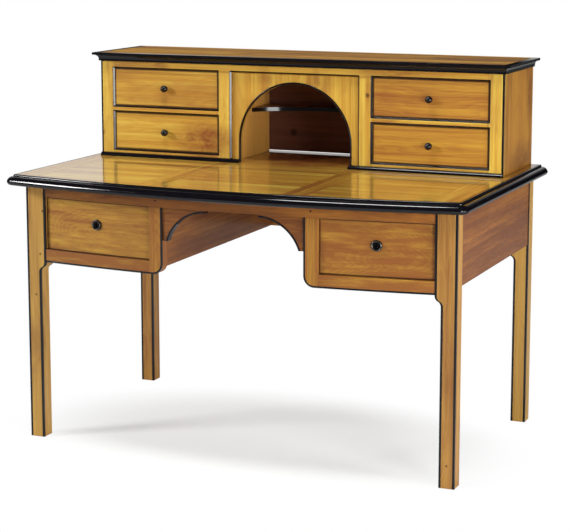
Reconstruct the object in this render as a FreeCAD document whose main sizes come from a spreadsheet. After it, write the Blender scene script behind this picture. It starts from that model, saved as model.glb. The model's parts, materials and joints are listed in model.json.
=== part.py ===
"""Bow-fronted writing desk with an upper row of drawers and an arched niche.

Millimetres, +Z up. The origin lies on the floor under the middle of the desk's box:
+X points to the right of someone who sits at the desk, +Y to the back.
Every driving size is a cell of the spreadsheet, and the solids are bound to those cells.
"""
import FreeCAD, Part
import math
import os
import types

import Sketcher

Vector = FreeCAD.Vector
Rotation = FreeCAD.Rotation
X_AXIS = Vector(1, 0, 0)
Y_AXIS = Vector(0, 1, 0)
Z_AXIS = Vector(0, 0, 1)

# Driving sizes, grouped by the piece that they belong to
SIZES = {
    # desk top: boards, their bowed front and the moulded black edge
    "desk_height": 760.0,
    "top_thick": 30.0,
    "top_side_reach": 12.0,
    "top_back_reach": 10.0,
    "top_front_reach": 29.0,
    "top_bow": 64.0,
    "end_band": 76.0,
    "cross_band": 66.0,
    "middle_panel": 364.0,
    "edge_width": 27.0,
    "edge_flat": 4.0,
    "edge_bead": 4.5,
    "edge_quirk": 2.0,
    "edge_nose_rise": 10.5,
    "edge_foot": 17.0,
    # legs
    "leg_span": 1266.0,
    "leg_depth_span": 725.0,
    "leg_size": 43.0,
    "leg_head": 60.0,
    "shoulder_height": 480.0,
    "shoulder_rise": 28.0,
    "leg_bead": 6.0,
    # aprons and the bowed front frame
    "apron_height": 200.0,
    "apron_thick": 20.0,
    "apron_inset": 2.0,
    "front_bow": 44.0,
    "front_inset": 1.0,
    "front_height": 220.0,
    "frame_thick": 34.0,
    "top_rail_height": 35.0,
    "top_rail_thick": 36.0,
    "bottom_rail_height": 36.0,
    "knee_width": 412.0,
    "knee_shift": 18.0,
    "stile_width": 40.0,
    "corner_round": 30.0,
    "knee_bead": 5.0,
    "peg_radius": 3.0,
    "peg_length": 20.0,
    "peg_proud": 0.5,
    # brackets in the knee space
    "spandrel_width": 130.0,
    "spandrel_height": 91.0,
    "spandrel_radius": 121.0,
    "spandrel_tip": 3.0,
    "spandrel_inset": 5.0,
    "spandrel_thick": 18.0,
    "spandrel_bead": 5.0,
    # desk drawers, their runners and locks
    "drawer_inset": 9.0,
    "drawer_gap": 1.5,
    "run_gap": 0.3,
    "drawer_front": 22.0,
    "drawer_wall": 12.0,
    "drawer_wall_height": 138.0,
    "drawer_bottom": 6.0,
    "drawer_groove": 5.0,
    "drawer_bottom_lift": 8.0,
    "drawer_lap": 7.0,
    "drawer_reach": 430.0,
    "runner_thick": 14.0,
    "runner_bearing": 26.0,
    "guide_height": 30.0,
    "stop_length": 20.0,
    "stop_height": 24.0,
    "keyhole_drop": 64.0,
    "lock_width": 50.0,
    "lock_height": 84.0,
    "lock_thick": 12.0,
    "lock_front": 1.0,
    "lock_fit": 0.2,
    "bolt_width": 20.0,
    "bolt_thick": 5.0,
    "bolt_height": 36.0,
    "bolt_throw": 7.0,
    "escutcheon_radius": 15.0,
    "escutcheon_rim": 3.5,
    "escutcheon_reach": 6.5,
    "escutcheon_dish": 4.0,
    "escutcheon_skirt": 1.5,
    "spigot_radius": 6.0,
    "spigot_length": 8.0,
    "key_radius": 2.4,
    "key_slot_width": 2.4,
    "key_slot_drop": 7.5,
    # upper unit: carcass and face frame
    "unit_width": 1250.0,
    "unit_depth": 295.0,
    "unit_height": 285.0,
    "board_thick": 22.0,
    "face_thick": 22.0,
    "unit_stile": 44.0,
    "unit_rail": 22.0,
    "middle_rail": 20.0,
    "niche_width": 394.0,
    "floor_thick": 12.0,
    "back_thick": 8.0,
    "back_inset": 6.0,
    "back_rebate": 8.0,
    "back_lift": 4.5,
    "bead_width": 5.0,
    "bead_depth": 6.0,
    "bead_flat": 1.0,
    # arch and shelf in the niche
    "panel_inset": 10.0,
    "panel_thick": 14.0,
    "arch_width": 342.0,
    "arch_spring": 64.0,
    "arch_bead": 5.0,
    "arch_bead_proud": 2.0,
    "shelf_rise": 133.0,
    "shelf_thick": 12.0,
    "shelf_set_back": 150.0,
    "shelf_hollow": 95.0,
    "shelf_housing": 6.0,
    "shelf_edge": 8.0,
    # cornice and base moulding
    "cornice_height": 25.0,
    "cornice_reach": 20.0,
    "cornice_fillet": 7.0,
    "cornice_step": 2.5,
    "cornice_foot": 5.0,
    "base_round": 11.0,
    # small drawers
    "small_inset": 6.0,
    "small_gap": 1.0,
    "small_front": 18.0,
    "small_wall": 9.0,
    "small_wall_height": 92.0,
    "small_bottom": 5.0,
    "small_groove": 4.0,
    "small_bottom_lift": 6.0,
    "small_lap": 5.0,
    "small_reach": 272.0,
    "knob_ball": 10.5,
    "knob_reach": 25.0,
    "knob_neck": 4.5,
    "knob_spigot_length": 14.0,
    "knob_fit": 0.1,
    # cuts run past the faces that they open by this much
    "overrun": 5.0,
}

doc = FreeCAD.newDocument("writing_desk")
sheet = doc.addObject("Spreadsheet::Sheet", "sizes")
used_rows = 0


class Size:
    """A length that keeps its number and the sheet formula that gives it."""

    def __init__(self, number, formula):
        self.number = number
        self.formula = formula

    def __add__(self, other):
        return joined(self, "+", other, self.number + number(other))

    def __radd__(self, other):
        return joined(other, "+", self, other + self.number)

    def __sub__(self, other):
        return joined(self, "-", other, self.number - number(other))

    def __rsub__(self, other):
        return joined(other, "-", self, other - self.number)

    def __mul__(self, other):
        return joined(self, "*", other, self.number * number(other))

    def __rmul__(self, other):
        return joined(other, "*", self, other * self.number)

    def __truediv__(self, other):
        return joined(self, "/", other, self.number / number(other))

    def __neg__(self):
        return Size(-self.number, f"(-{self.formula})")


def number(value):
    return value.number if isinstance(value, Size) else value


def formula(value):
    return value.formula if isinstance(value, Size) else str(value)


def joined(left, sign, right, result):
    return Size(result, f"({formula(left)} {sign} {formula(right)})")


def root(value):
    return Size(math.sqrt(value.number), f"sqrt({value.formula})")


def cell(name, content):
    """Put one named value in the next row of the sheet."""
    global used_rows
    used_rows += 1
    sheet.set(f"A{used_rows}", name)
    sheet.set(f"B{used_rows}", content)
    sheet.setAlias(f"B{used_rows}", name)


def derived(name, value):
    """Give a worked-out size a cell of its own."""
    cell(name, "=" + value.formula.replace("sizes.", ""))
    return Size(value.number, f"sizes.{name}")


for size_name, size_value in SIZES.items():
    cell(size_name, str(size_value))
S = types.SimpleNamespace(**{name: Size(value, f"sizes.{name}") for name, value in SIZES.items()})


def bind(thing, prop, value):
    thing.setExpression(prop, formula(value))


def put(thing, x, y, z):
    for prop, value in zip("xyz", (x, y, z)):
        bind(thing, f"Placement.Base.{prop}", value)
    return thing


def box(name, x, y, z):
    """Block between two faces each way."""
    block = doc.addObject("Part::Box", name)
    for prop, span in (("Length", x), ("Width", y), ("Height", z)):
        bind(block, prop, span[1] - span[0])
    return put(block, x[0], y[0], z[0])


def rod(name, radius, start, length, turn=None):
    """Cylinder from its start point along +Z, or along the axis that the turn gives."""
    solid = doc.addObject("Part::Cylinder", name)
    bind(solid, "Radius", radius)
    bind(solid, "Height", length)
    if turn:
        solid.Placement.Rotation = turn
    return put(solid, *start)


ALONG_Y = Rotation(X_AXIS, -90)
ALONG_X = Rotation(Y_AXIS, 90)
toward_sitter = Rotation(X_AXIS, 90)


def cut(name, base, *tools):
    result = doc.addObject("Part::Cut", name)
    result.Base = base
    result.Tool = tools[0] if len(tools) == 1 else fuse(name + "_tools", *tools)
    return result


def fuse(name, *solids):
    result = doc.addObject("Part::MultiFuse", name)
    result.Shapes = list(solids)
    return result


def common(name, *solids):
    result = doc.addObject("Part::MultiCommon", name)
    result.Shapes = list(solids)
    return result


def group(name, *solids):
    """Separate solids that share one node."""
    result = doc.addObject("Part::Compound", name)
    result.Links = list(solids)
    return result


def feature(name, shape):
    result = doc.addObject("Part::Feature", name)
    result.Shape = shape
    return result


SIDES = {"left": -1, "right": 1}


def across(side, near, far):
    """X span on one side of the desk, from distances to its middle plane."""
    return (near, far) if side > 0 else (-far, -near)


def outline(drawing, corners, arcs):
    """Fill a sketch with a closed outline whose corners and radii are bound to the sheet.

    arcs maps the index of a corner to the centre, radius and turn of the arc that leaves it.
    """
    ends = []
    for index, (u, v) in enumerate(corners):
        start = Vector(number(u), number(v), 0)
        next_u, next_v = corners[(index + 1) % len(corners)]
        end = Vector(number(next_u), number(next_v), 0)
        curve = Part.LineSegment(start, end)
        first, last = 1, 2
        if index in arcs:
            (centre_u, centre_v), radius, turn = arcs[index]
            centre = Vector(number(centre_u), number(centre_v), 0)
            angles = [math.atan2(p.y - centre.y, p.x - centre.x) for p in (start, end)]
            if turn < 0:
                angles.reverse()
                first, last = 2, 1
            curve = Part.ArcOfCircle(Part.Circle(centre, Z_AXIS, number(radius)), *angles)
        ends.append((drawing.addGeometry(curve, False), first, last))
    for index, (geometry, first, last) in enumerate(ends):
        following = ends[(index + 1) % len(ends)]
        drawing.addConstraint(Sketcher.Constraint("Coincident", geometry, last, *following[:2]))
        for kind, value in zip(("DistanceX", "DistanceY"), corners[index]):
            limit = Sketcher.Constraint(kind, -1, 1, geometry, first, number(value))
            bind(drawing, f"Constraints[{drawing.addConstraint(limit)}]", value)
        if index in arcs:
            radius = arcs[index][1]
            limit = Sketcher.Constraint("Radius", geometry, number(radius))
            bind(drawing, f"Constraints[{drawing.addConstraint(limit)}]", radius)
    return drawing


def plate(name, corners, arcs, y):
    """Outline in the XZ plane, extruded to the back from one Y to another."""
    drawing = doc.addObject("Sketcher::SketchObject", name + "_outline")
    drawing.Placement.Rotation = Rotation(X_AXIS, 90)
    outline(drawing, corners, arcs)
    bind(drawing, "Placement.Base.y", y[0])
    solid = doc.addObject("Part::Extrusion", name)
    solid.Base = drawing
    solid.DirMode = "Custom"
    solid.Dir = Y_AXIS
    bind(solid, "LengthFwd", y[1] - y[0])
    solid.Solid = True
    return solid


def flat_face(points):
    return Part.Face(Part.makePolygon([*points, points[0]]))


def faceted(name, facets, rings):
    """Small round piece about its own Z axis: flat facets between rings of (radius, height)."""
    turns = [2 * math.pi * index / facets for index in range(facets)]
    loops = [
        [Vector(radius.number * math.cos(t), radius.number * math.sin(t), height.number) for t in turns]
        for radius, height in rings
    ]
    faces = [flat_face(loops[0]), flat_face(loops[-1])]
    for lower, upper in zip(loops[:-1], loops[1:]):
        for index in range(facets):
            faces.append(flat_face([lower[index - 1], lower[index], upper[index], upper[index - 1]]))
    return feature(name, Part.makeSolid(Part.makeShell(faces)))


def wedge(name, x, y, near_z, far_x, far_z):
    """Block that tapers along Y from one XZ rectangle to another."""
    block = doc.addObject("Part::Wedge", name)
    limits = {
        "Xmin": x[0], "Xmax": x[1], "Ymin": y[0], "Ymax": y[1], "Zmin": near_z[0], "Zmax": near_z[1],
        "X2min": far_x[0], "X2max": far_x[1], "Z2min": far_z[0], "Z2max": far_z[1],
    }
    for prop, value in limits.items():
        bind(block, prop, value)
    return block


# Planes and radii that several pieces share
half_span = derived("half_span", S.leg_span / 2)
under_top = derived("under_top", S.desk_height - S.top_thick)
front_overhang = S.top_front_reach + S.edge_width + S.top_bow
front_y = derived("front_y", (front_overhang - S.leg_depth_span - S.top_back_reach) / 2)
back_y = derived("back_y", front_y + S.leg_depth_span)
top_back_y = derived("top_back_y", back_y + S.top_back_reach)
half_top = derived("half_top", half_span + S.top_side_reach)
top_corner_y = derived("top_corner_y", front_y - S.top_front_reach)
top_radius = derived("top_radius", (half_top * half_top + S.top_bow * S.top_bow) / (2 * S.top_bow))
top_centre_y = derived("top_centre_y", top_corner_y - S.top_bow + top_radius)
half_frame = derived("half_frame", half_span - S.leg_head)
bow_radius = derived("bow_radius", (half_frame * half_frame + S.front_bow * S.front_bow) / (2 * S.front_bow))
bow_centre_y = derived("bow_centre_y", front_y + S.front_inset - S.front_bow + bow_radius)
frame_foot = derived("frame_foot", under_top - S.front_height)
opening_foot = derived("opening_foot", frame_foot + S.bottom_rail_height)
opening_head = derived("opening_head", under_top - S.top_rail_height)
apron_foot = derived("apron_foot", under_top - S.apron_height)
apron_face = derived("apron_face", half_span - S.apron_inset)
apron_back = derived("apron_back", back_y - S.apron_inset - S.apron_thick)
full_y = (top_corner_y - S.top_bow, top_back_y)
full_z = (0 * S.overrun, S.desk_height + S.overrun)

unit_half = derived("unit_half", S.unit_width / 2)
unit_front = derived("unit_front", back_y - S.unit_depth)
unit_head = derived("unit_head", S.desk_height + S.unit_height)
face_back = derived("face_back", unit_front + S.face_thick)
half_niche = derived("half_niche", S.niche_width / 2)
opening_near = derived("opening_near", half_niche + S.unit_stile)
opening_far = derived("opening_far", unit_half - S.unit_stile)
partition_far = derived("partition_far", half_niche + S.board_thick)
side_near = derived("side_near", unit_half - S.board_thick)
back_face = derived("back_face", back_y - S.back_inset - S.back_thick)
small_height = derived("small_height", (S.unit_height - 2 * S.unit_rail - S.middle_rail) / 2)
lower_foot = derived("lower_foot", S.desk_height + S.unit_rail)
upper_foot = derived("upper_foot", lower_foot + small_height + S.middle_rail)
rail_foot = derived("rail_foot", unit_head - S.unit_rail)


def bow_disc(name, depth):
    """Everything that lies at least this deep behind the bowed face of the front frame."""
    height = full_z[1] - full_z[0]
    return rod(name, bow_radius - depth, (0, bow_centre_y, full_z[0]), height)


def bow_shell(name, near, far):
    """Bowed layer between two depths behind the face of the front frame."""
    return cut(name, bow_disc(name + "_outer", near), bow_disc(name + "_inner", far))


def bow_y(depth, x):
    """Y of the front frame's bow at a depth behind its face."""
    radius = bow_radius - depth
    return bow_centre_y - root(radius * radius - x * x)


nodes = []


def keep(node):
    nodes.append(node)
    return node


# Legs: square posts with a wider head, eased into the post by an ogee on the inner side
def leg_outline(side, inset):
    """Corners and arcs of a leg's front view, with its inner edge set in by a distance."""
    half_step = (S.leg_head - S.leg_size) / 2
    half_rise = S.shoulder_rise / 2
    radius = (half_rise * half_rise + half_step * half_step) / (2 * half_step)
    head = half_span - S.leg_head + inset
    post = half_span - S.leg_size + inset
    middle = head + half_step
    shoulder_head = S.shoulder_height + S.shoulder_rise
    corners = [
        (side * half_span, 0 * S.leg_size),
        (side * half_span, under_top),
        (side * head, under_top),
        (side * head, shoulder_head),
        (side * middle, S.shoulder_height + half_rise),
        (side * post, S.shoulder_height),
        (side * post, 0 * S.leg_size),
    ]
    arcs = {
        3: ((side * (head + radius), shoulder_head), radius, side),
        4: ((side * (post - radius), S.shoulder_height), radius, -side),
    }
    return corners, arcs


leg_beads = []
for side_name, side in SIDES.items():
    for end_name, leg_y in (
        ("front", (front_y, front_y + S.leg_size)),
        ("back", (back_y - S.leg_size, back_y)),
    ):
        place = f"{end_name}_{side_name}"
        bead_y = (leg_y[0], leg_y[0] + S.leg_bead)
        post = plate(f"leg_block_{place}", *leg_outline(side, 0 * S.leg_bead), leg_y)
        core = plate(f"leg_core_{place}", *leg_outline(side, S.leg_bead), bead_y)
        outer_strip = box(
            f"leg_outer_strip_{place}",
            across(side, half_span - S.leg_bead, half_span),
            bead_y,
            (0, under_top),
        )
        front_slice = box(
            f"leg_front_slice_{place}", across(side, half_frame, half_span), bead_y, (0, under_top)
        )
        post_front = common(f"leg_front_{place}_layer", post, front_slice)
        inner_bead = cut(f"leg_inner_bead_{place}", post_front, core)
        keep(cut(f"leg_{place}", post, outer_strip, inner_bead))
        leg_beads += [outer_strip, inner_bead]
keep(group("leg_beads", *leg_beads))

# Aprons between the legs
side_aprons = [
    box(
        f"side_apron_{name}",
        across(side, apron_face - S.apron_thick, apron_face),
        (front_y + S.leg_size, back_y - S.leg_size),
        (apron_foot, under_top),
    )
    for name, side in SIDES.items()
]
keep(group("side_aprons", *side_aprons))
keep(
    box(
        "back_apron",
        (-half_frame, half_frame),
        (apron_back, apron_back + S.apron_thick),
        (apron_foot, under_top),
    )
)
frame_layer = bow_shell("frame_layer", 0 * S.frame_thick, S.frame_thick)
behind_frame = bow_disc("behind_frame", S.frame_thick)

# Bowed front frame: top rail, two stiles with a rounded foot, two bottom rails
front_span = (front_y - S.front_bow, front_y + S.top_rail_thick + S.front_bow)
knee_near, stile_far, lock_x = {}, {}, {}
for name, side in SIDES.items():
    knee_near[name] = derived(f"knee_near_{name}", S.knee_width / 2 + side * S.knee_shift)
    stile_far[name] = derived(f"stile_far_{name}", knee_near[name] + S.stile_width)
    lock_x[name] = derived(f"lock_x_{name}", (stile_far[name] + half_frame) / 2)
lock_y = derived("lock_y", front_y + S.lock_front)
bolt_y = derived("bolt_y", lock_y + (S.lock_thick - S.bolt_thick) / 2)
rail_block = box("top_rail_block", (-half_frame, half_frame), front_span, (opening_head, under_top))
rail_layer = bow_shell("rail_layer", 0 * S.frame_thick, S.top_rail_thick)
bolt_slack = S.bolt_width / 2 + S.run_gap
bolt_mortises = [
    box(
        f"bolt_mortise_{name}",
        across(side, lock_x[name] - bolt_slack, lock_x[name] + bolt_slack),
        (bolt_y - S.run_gap, bolt_y + S.bolt_thick + S.run_gap),
        (opening_head - S.overrun, opening_head + S.bolt_throw + S.run_gap),
    )
    for name, side in SIDES.items()
]
PEG_FACETS = 8
peg_rings = [(S.peg_radius, 0 * S.peg_length), (S.peg_radius, S.peg_length)]
pegs = []
for name, side in SIDES.items():
    peg_x = knee_near[name] + S.stile_width / 2
    peg_y = bow_y(0 * S.frame_thick, peg_x) - S.peg_proud
    peg = faceted(f"rail_peg_{name}", PEG_FACETS, peg_rings)
    peg.Placement.Rotation = ALONG_Y
    pegs.append(put(peg, side * peg_x, peg_y, opening_head + S.top_rail_height / 2))
top_rail_bowed = common("top_rail_bowed", rail_block, rail_layer)
keep(cut("front_top_rail", top_rail_bowed, *bolt_mortises, *pegs))
keep(group("rail_pegs", *pegs))

# Walls between the knee space and the drawers, notched under the thicker top rail
caisson_sides = []
for name, side in SIDES.items():
    wall_x = across(side, knee_near[name], knee_near[name] + S.apron_thick)
    wall_block = box(f"caisson_block_{name}", wall_x, (front_span[0], apron_back), (apron_foot, under_top))
    wall_fitted = common(f"caisson_fitted_{name}", wall_block, behind_frame)
    caisson_sides.append(cut(f"caisson_side_{name}", wall_fitted, top_rail_bowed))
keep(group("caisson_sides", *caisson_sides))

bead_layer = bow_shell("bead_layer", 0 * S.frame_thick, S.knee_bead)
stiles, bottom_rails, knee_beads = [], [], []
for name, side in SIDES.items():
    round_near = knee_near[name] + S.corner_round
    round_rise = frame_foot + S.corner_round
    ends_x = across(side, knee_near[name], half_frame)
    round_x = across(side, round_near, half_frame)
    front_plate = fuse(
        f"front_plate_{name}",
        box(f"plate_upper_{name}", ends_x, front_span, (round_rise, opening_head)),
        box(f"plate_lower_{name}", round_x, front_span, (frame_foot, opening_head)),
        rod(
            f"plate_corner_{name}",
            S.corner_round,
            (side * round_near, front_span[0], round_rise),
            front_span[1] - front_span[0],
            ALONG_Y,
        ),
    )
    inner_x = across(side, knee_near[name] + S.knee_bead, half_frame)
    inner_foot = frame_foot + S.knee_bead
    inner_plate = fuse(
        f"inner_plate_{name}",
        box(f"inner_upper_{name}", inner_x, front_span, (round_rise, opening_head)),
        box(f"inner_lower_{name}", round_x, front_span, (inner_foot, opening_head)),
        rod(
            f"inner_corner_{name}",
            S.corner_round - S.knee_bead,
            (side * round_near, front_span[0], round_rise),
            front_span[1] - front_span[0],
            ALONG_Y,
        ),
    )
    knee_bead = common(f"knee_bead_{name}", cut(f"knee_band_{name}", front_plate, inner_plate), bead_layer)
    knee_beads.append(knee_bead)
    stile_x = across(side, knee_near[name], stile_far[name])
    stile_block = box(f"stile_block_{name}", stile_x, front_span, (frame_foot, opening_head))
    stile_bowed = common(f"stile_bowed_{name}", stile_block, front_plate, frame_layer)
    stiles.append(cut(f"front_stile_{name}", stile_bowed, knee_bead))
    rail_x = across(side, stile_far[name], half_frame)
    rail_piece = box(f"bottom_rail_block_{name}", rail_x, front_span, (frame_foot, opening_foot))
    rail_bowed = common(f"bottom_rail_bowed_{name}", rail_piece, frame_layer)
    bottom_rails.append(cut(f"bottom_rail_{name}", rail_bowed, knee_bead))
keep(group("front_stiles", *stiles))
keep(group("bottom_rails", *bottom_rails))
keep(group("kneehole_beads", *knee_beads))

# Curved brackets under the top rail, each with a black strip round its arc
spandrel_layer = bow_shell("spandrel_layer", S.spandrel_inset, S.spandrel_inset + S.spandrel_thick)
strip_layer = bow_shell("strip_layer", S.spandrel_inset - S.front_inset, S.spandrel_inset + S.spandrel_thick)
spandrels, spandrel_edges = [], []
for name, side in SIDES.items():
    tip_x = knee_near[name] - S.spandrel_width
    arc_rise = opening_head - S.spandrel_tip - S.spandrel_bead - S.spandrel_radius
    centre = (side * tip_x, front_span[0], arc_rise)
    length = front_span[1] - front_span[0]
    block = box(
        f"spandrel_block_{name}",
        across(side, tip_x, knee_near[name]),
        front_span,
        (opening_head - S.spandrel_height, opening_head),
    )
    mouth = rod(f"spandrel_mouth_{name}", S.spandrel_radius, centre, length, ALONG_Y)
    strip_round = rod(f"spandrel_round_{name}", S.spandrel_radius + S.spandrel_bead, centre, length, ALONG_Y)
    spandrels.append(
        common(f"spandrel_{name}", cut(f"spandrel_plate_{name}", block, strip_round), spandrel_layer)
    )
    strip = cut(f"spandrel_strip_{name}", common(f"strip_block_{name}", block, strip_round), mouth)
    spandrel_edges.append(common(f"spandrel_edge_{name}", strip, strip_layer))
keep(group("spandrels", *spandrels))
keep(group("spandrel_edges", *spandrel_edges))

# Runners, guides, kickers and stops for the two desk drawers
drawer_end = derived("drawer_end", front_y + S.drawer_reach)
wall_outer = derived("wall_outer", apron_face - S.apron_thick)
front_far = derived("front_far", half_frame - S.drawer_gap)
leg_back_face = derived("leg_back_face", front_y + S.leg_size)
behind_top_rail = bow_disc("behind_top_rail", S.top_rail_thick)
front_near = {}
runners, kickers, stops = [], [], []
for name, side in SIDES.items():
    wall_inner = derived(f"wall_inner_{name}", knee_near[name] + S.apron_thick)
    front_near[name] = derived(f"front_near_{name}", stile_far[name] + S.drawer_gap)
    leg_heads = [
        box(f"{end}_leg_head_{name}", across(side, half_frame, half_span), span, (0, under_top))
        for end, span in (("front", (front_span[0], leg_back_face)), ("back", (back_y - S.leg_size, back_y)))
    ]

    def slide_bar(title, span, z, behind):
        """Bar from the front frame's back face to the back apron, notched round the legs."""
        block = box(title + "_block", span, (front_span[0], apron_back), z)
        return cut(title, common(title + "_fitted", block, behind), *leg_heads)

    inner_x = across(side, wall_inner, front_near[name] + S.runner_bearing)
    outer_x = across(side, front_far - S.runner_bearing, wall_outer)
    for rank, span in (("inner", inner_x), ("outer", outer_x)):
        runner_z = (opening_foot - S.runner_thick, opening_foot)
        runners.append(slide_bar(f"runner_{rank}_{name}", span, runner_z, behind_frame))
        kicker_z = (opening_head, opening_head + S.runner_thick)
        kickers.append(slide_bar(f"kicker_{rank}_{name}", span, kicker_z, behind_top_rail))
        stop_y = (drawer_end + S.run_gap, drawer_end + S.run_gap + S.stop_length)
        stops.append(box(f"stop_{rank}_{name}", span, stop_y, (opening_foot, opening_foot + S.stop_height)))
    for rank, span in (
        ("inner", across(side, wall_inner, front_near[name] - S.run_gap)),
        ("outer", across(side, front_far + S.run_gap, wall_outer)),
    ):
        guide_y = (leg_back_face, drawer_end)
        guide_z = (opening_foot, opening_foot + S.guide_height)
        runners.append(box(f"guide_{rank}_{name}", span, guide_y, guide_z))
keep(group("drawer_runners", *runners))
keep(group("drawer_kickers", *kickers))
keep(group("drawer_stops", *stops))

# Desk top: three panels, two cross bands and two end bands behind the bowed front
top_z = (under_top, S.desk_height)
top_disc = rod("top_disc", top_radius, (0, top_centre_y, under_top), S.top_thick)
half_middle = S.middle_panel / 2
side_panel_far = half_top - S.end_band


def top_board(name, x):
    return common(name, box(name + "_block", x, full_y, top_z), top_disc)


panels = [top_board("top_middle_panel", (-half_middle, half_middle))]
bands = []
for name, side in SIDES.items():
    panels.append(top_board(f"top_panel_{name}", across(side, half_middle + S.cross_band, side_panel_far)))
    bands.append(top_board(f"top_cross_band_{name}", across(side, half_middle, half_middle + S.cross_band)))
    bands.append(top_board(f"top_end_band_{name}", across(side, side_panel_far, half_top)))
keep(group("top_panels", *panels))
keep(group("top_bands", *bands))


def closed_face(edges):
    return Part.Face(Part.Wire(Part.__sortEdges__(edges)))


def edge_section():
    """Section of the top's black edge: reach along +X from the boards, height along Z."""
    top, foot = S.desk_height.number, under_top.number
    bead_out = S.edge_flat.number + S.edge_bead.number
    bead_foot = top - S.edge_bead.number
    quirk_foot = bead_foot - S.edge_quirk.number
    nose = foot + S.edge_nose_rise.number
    width, sole = S.edge_width.number, S.edge_foot.number
    corners = [
        Vector(0, 0, foot),
        Vector(0, 0, top),
        Vector(S.edge_flat.number, 0, top),
        Vector(bead_out, 0, bead_foot),
        Vector(bead_out, 0, quirk_foot),
        Vector(width, 0, nose),
        Vector(sole, 0, foot),
    ]
    round_share = math.sqrt(0.5)
    bead_middle = Vector(
        S.edge_flat.number + S.edge_bead.number * round_share, 0, bead_foot + S.edge_bead.number * round_share
    )
    upper_middle = Vector(
        bead_out + (width - bead_out) * round_share, 0, nose + (quirk_foot - nose) * round_share
    )
    lower_middle = Vector(sole + (width - sole) * round_share, 0, nose - (nose - foot) * round_share)
    return closed_face(
        [
            Part.makeLine(corners[0], corners[1]),
            Part.makeLine(corners[1], corners[2]),
            Part.Arc(corners[2], bead_middle, corners[3]).toShape(),
            Part.makeLine(corners[3], corners[4]),
            Part.Arc(corners[4], upper_middle, corners[5]).toShape(),
            Part.Arc(corners[5], lower_middle, corners[6]).toShape(),
            Part.makeLine(corners[6], corners[0]),
        ]
    )


def section_at(section, x, y, degrees):
    """Copy of a section, turned about Z and moved to a point of the plan."""
    placed = section.copy()
    placed.rotate(Vector(), Z_AXIS, degrees)
    placed.translate(Vector(x, y, 0))
    return placed


# Black moulded edge: bowed front length and two straight sides, mitred in their rounded corners
section = edge_section()
bow_angle = math.degrees(math.asin(half_top.number / top_radius.number))
corner_angle = 90 - bow_angle
facing_front = -90
bow_centre = Vector(0, top_centre_y.number, 0)
EDGE_STRIP_COUNT = 4
length_angle = 2 * bow_angle / EDGE_STRIP_COUNT
front_lengths = []
for index in range(EDGE_STRIP_COUNT):
    length_start = section_at(section, 0, 0, 0)
    length_start.translate(Vector(top_radius.number, 0, 0))
    length_start.rotate(Vector(), Z_AXIS, facing_front - bow_angle + index * length_angle)
    length_start.translate(bow_centre)
    front_lengths.append(length_start.revolve(bow_centre, Z_AXIS, length_angle))
side_edges = []
for name, side in SIDES.items():
    corner = Vector(side * half_top.number, top_corner_y.number, 0)
    front_turn = facing_front + side * bow_angle
    side_turn = facing_front + side * 90
    half_turn = side * corner_angle / 2
    front_corner = section_at(section, corner.x, corner.y, front_turn).revolve(corner, Z_AXIS, half_turn)
    side_corner = section_at(section, corner.x, corner.y, side_turn).revolve(corner, Z_AXIS, -half_turn)
    run = section_at(section, corner.x, corner.y, side_turn).extrude(
        Vector(0, top_back_y.number - top_corner_y.number, 0)
    )
    front_lengths.append(front_corner)
    side_edges.append(feature(f"top_edge_{name}", run.fuse(side_corner).removeSplitter()))
keep(feature("top_edge_front", front_lengths[0].fuse(front_lengths[1:])))
keep(group("top_edge_sides", *side_edges))

# Upper unit: sides, partitions, boards that the small drawers run on, and the back
back_panel_z = (S.desk_height + S.back_lift, unit_head)
back_panel_x = (-(side_near + S.back_rebate), side_near + S.back_rebate)
keep(
    box("unit_back", back_panel_x, (back_face, back_face + S.back_thick), back_panel_z)
)
back_rebate = box("back_rebate", back_panel_x, (back_face, back_y), (S.desk_height, unit_head))
unit_z = (S.desk_height, unit_head)
sides = [
    cut(
        f"unit_side_{name}",
        box(f"unit_side_block_{name}", across(side, side_near, unit_half), (face_back, back_y), unit_z),
        back_rebate,
    )
    for name, side in SIDES.items()
]
keep(group("unit_sides", *sides))
shelf_z = (S.desk_height + S.shelf_rise, S.desk_height + S.shelf_rise + S.shelf_thick)
shelf_x = (-(half_niche + S.shelf_housing), half_niche + S.shelf_housing)
shelf_front = unit_front + S.shelf_set_back
shelf_block = box("shelf_block", shelf_x, (shelf_front, back_face), shelf_z)
partitions = [
    cut(
        f"partition_{name}",
        box(
            f"partition_block_{name}",
            across(side, half_niche, partition_far),
            (face_back, back_face),
            unit_z,
        ),
        shelf_block,
    )
    for name, side in SIDES.items()
]
keep(group("niche_partitions", *partitions))
boards = []
for name, side in SIDES.items():
    for level, surface in (("lower", lower_foot), ("upper", upper_foot)):
        board_x = across(side, partition_far, side_near)
        board_z = (surface - S.floor_thick, surface)
        boards.append(box(f"drawer_board_{level}_{name}", board_x, (face_back, back_face), board_z))
keep(group("drawer_boards", *boards))

# Face frame of the upper unit, rebated for the black beads round its openings
bead_back = derived("bead_back", unit_front + S.bead_depth)
rebate_y = (unit_front - S.overrun, bead_back)


def opening_bead(name, x, foot, head, foot_bead):
    """Black bead round one opening, with its rebate block."""
    reach = S.bead_width
    sill = foot - reach if foot_bead else foot
    inner_sill = foot if foot_bead else foot - S.overrun
    wide_sill = foot - reach + S.bead_flat if foot_bead else foot - S.overrun
    outer_x = (x[0] - reach, x[1] + reach)
    block = box(f"bead_block_{name}", outer_x, (unit_front, bead_back), (sill, head + reach))
    clear = box(f"bead_clear_{name}", x, (unit_front, bead_back), (inner_sill, head))
    flat = S.bead_flat
    bevel = wedge(
        f"bead_bevel_{name}",
        (outer_x[0] + flat, outer_x[1] - flat),
        (unit_front, bead_back - flat),
        (wide_sill, head + reach - flat),
        x,
        (inner_sill, head),
    )
    rebate = box(f"bead_rebate_{name}", outer_x, rebate_y, (sill, head + reach))
    return cut(f"bead_{name}", block, clear, bevel), rebate


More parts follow.
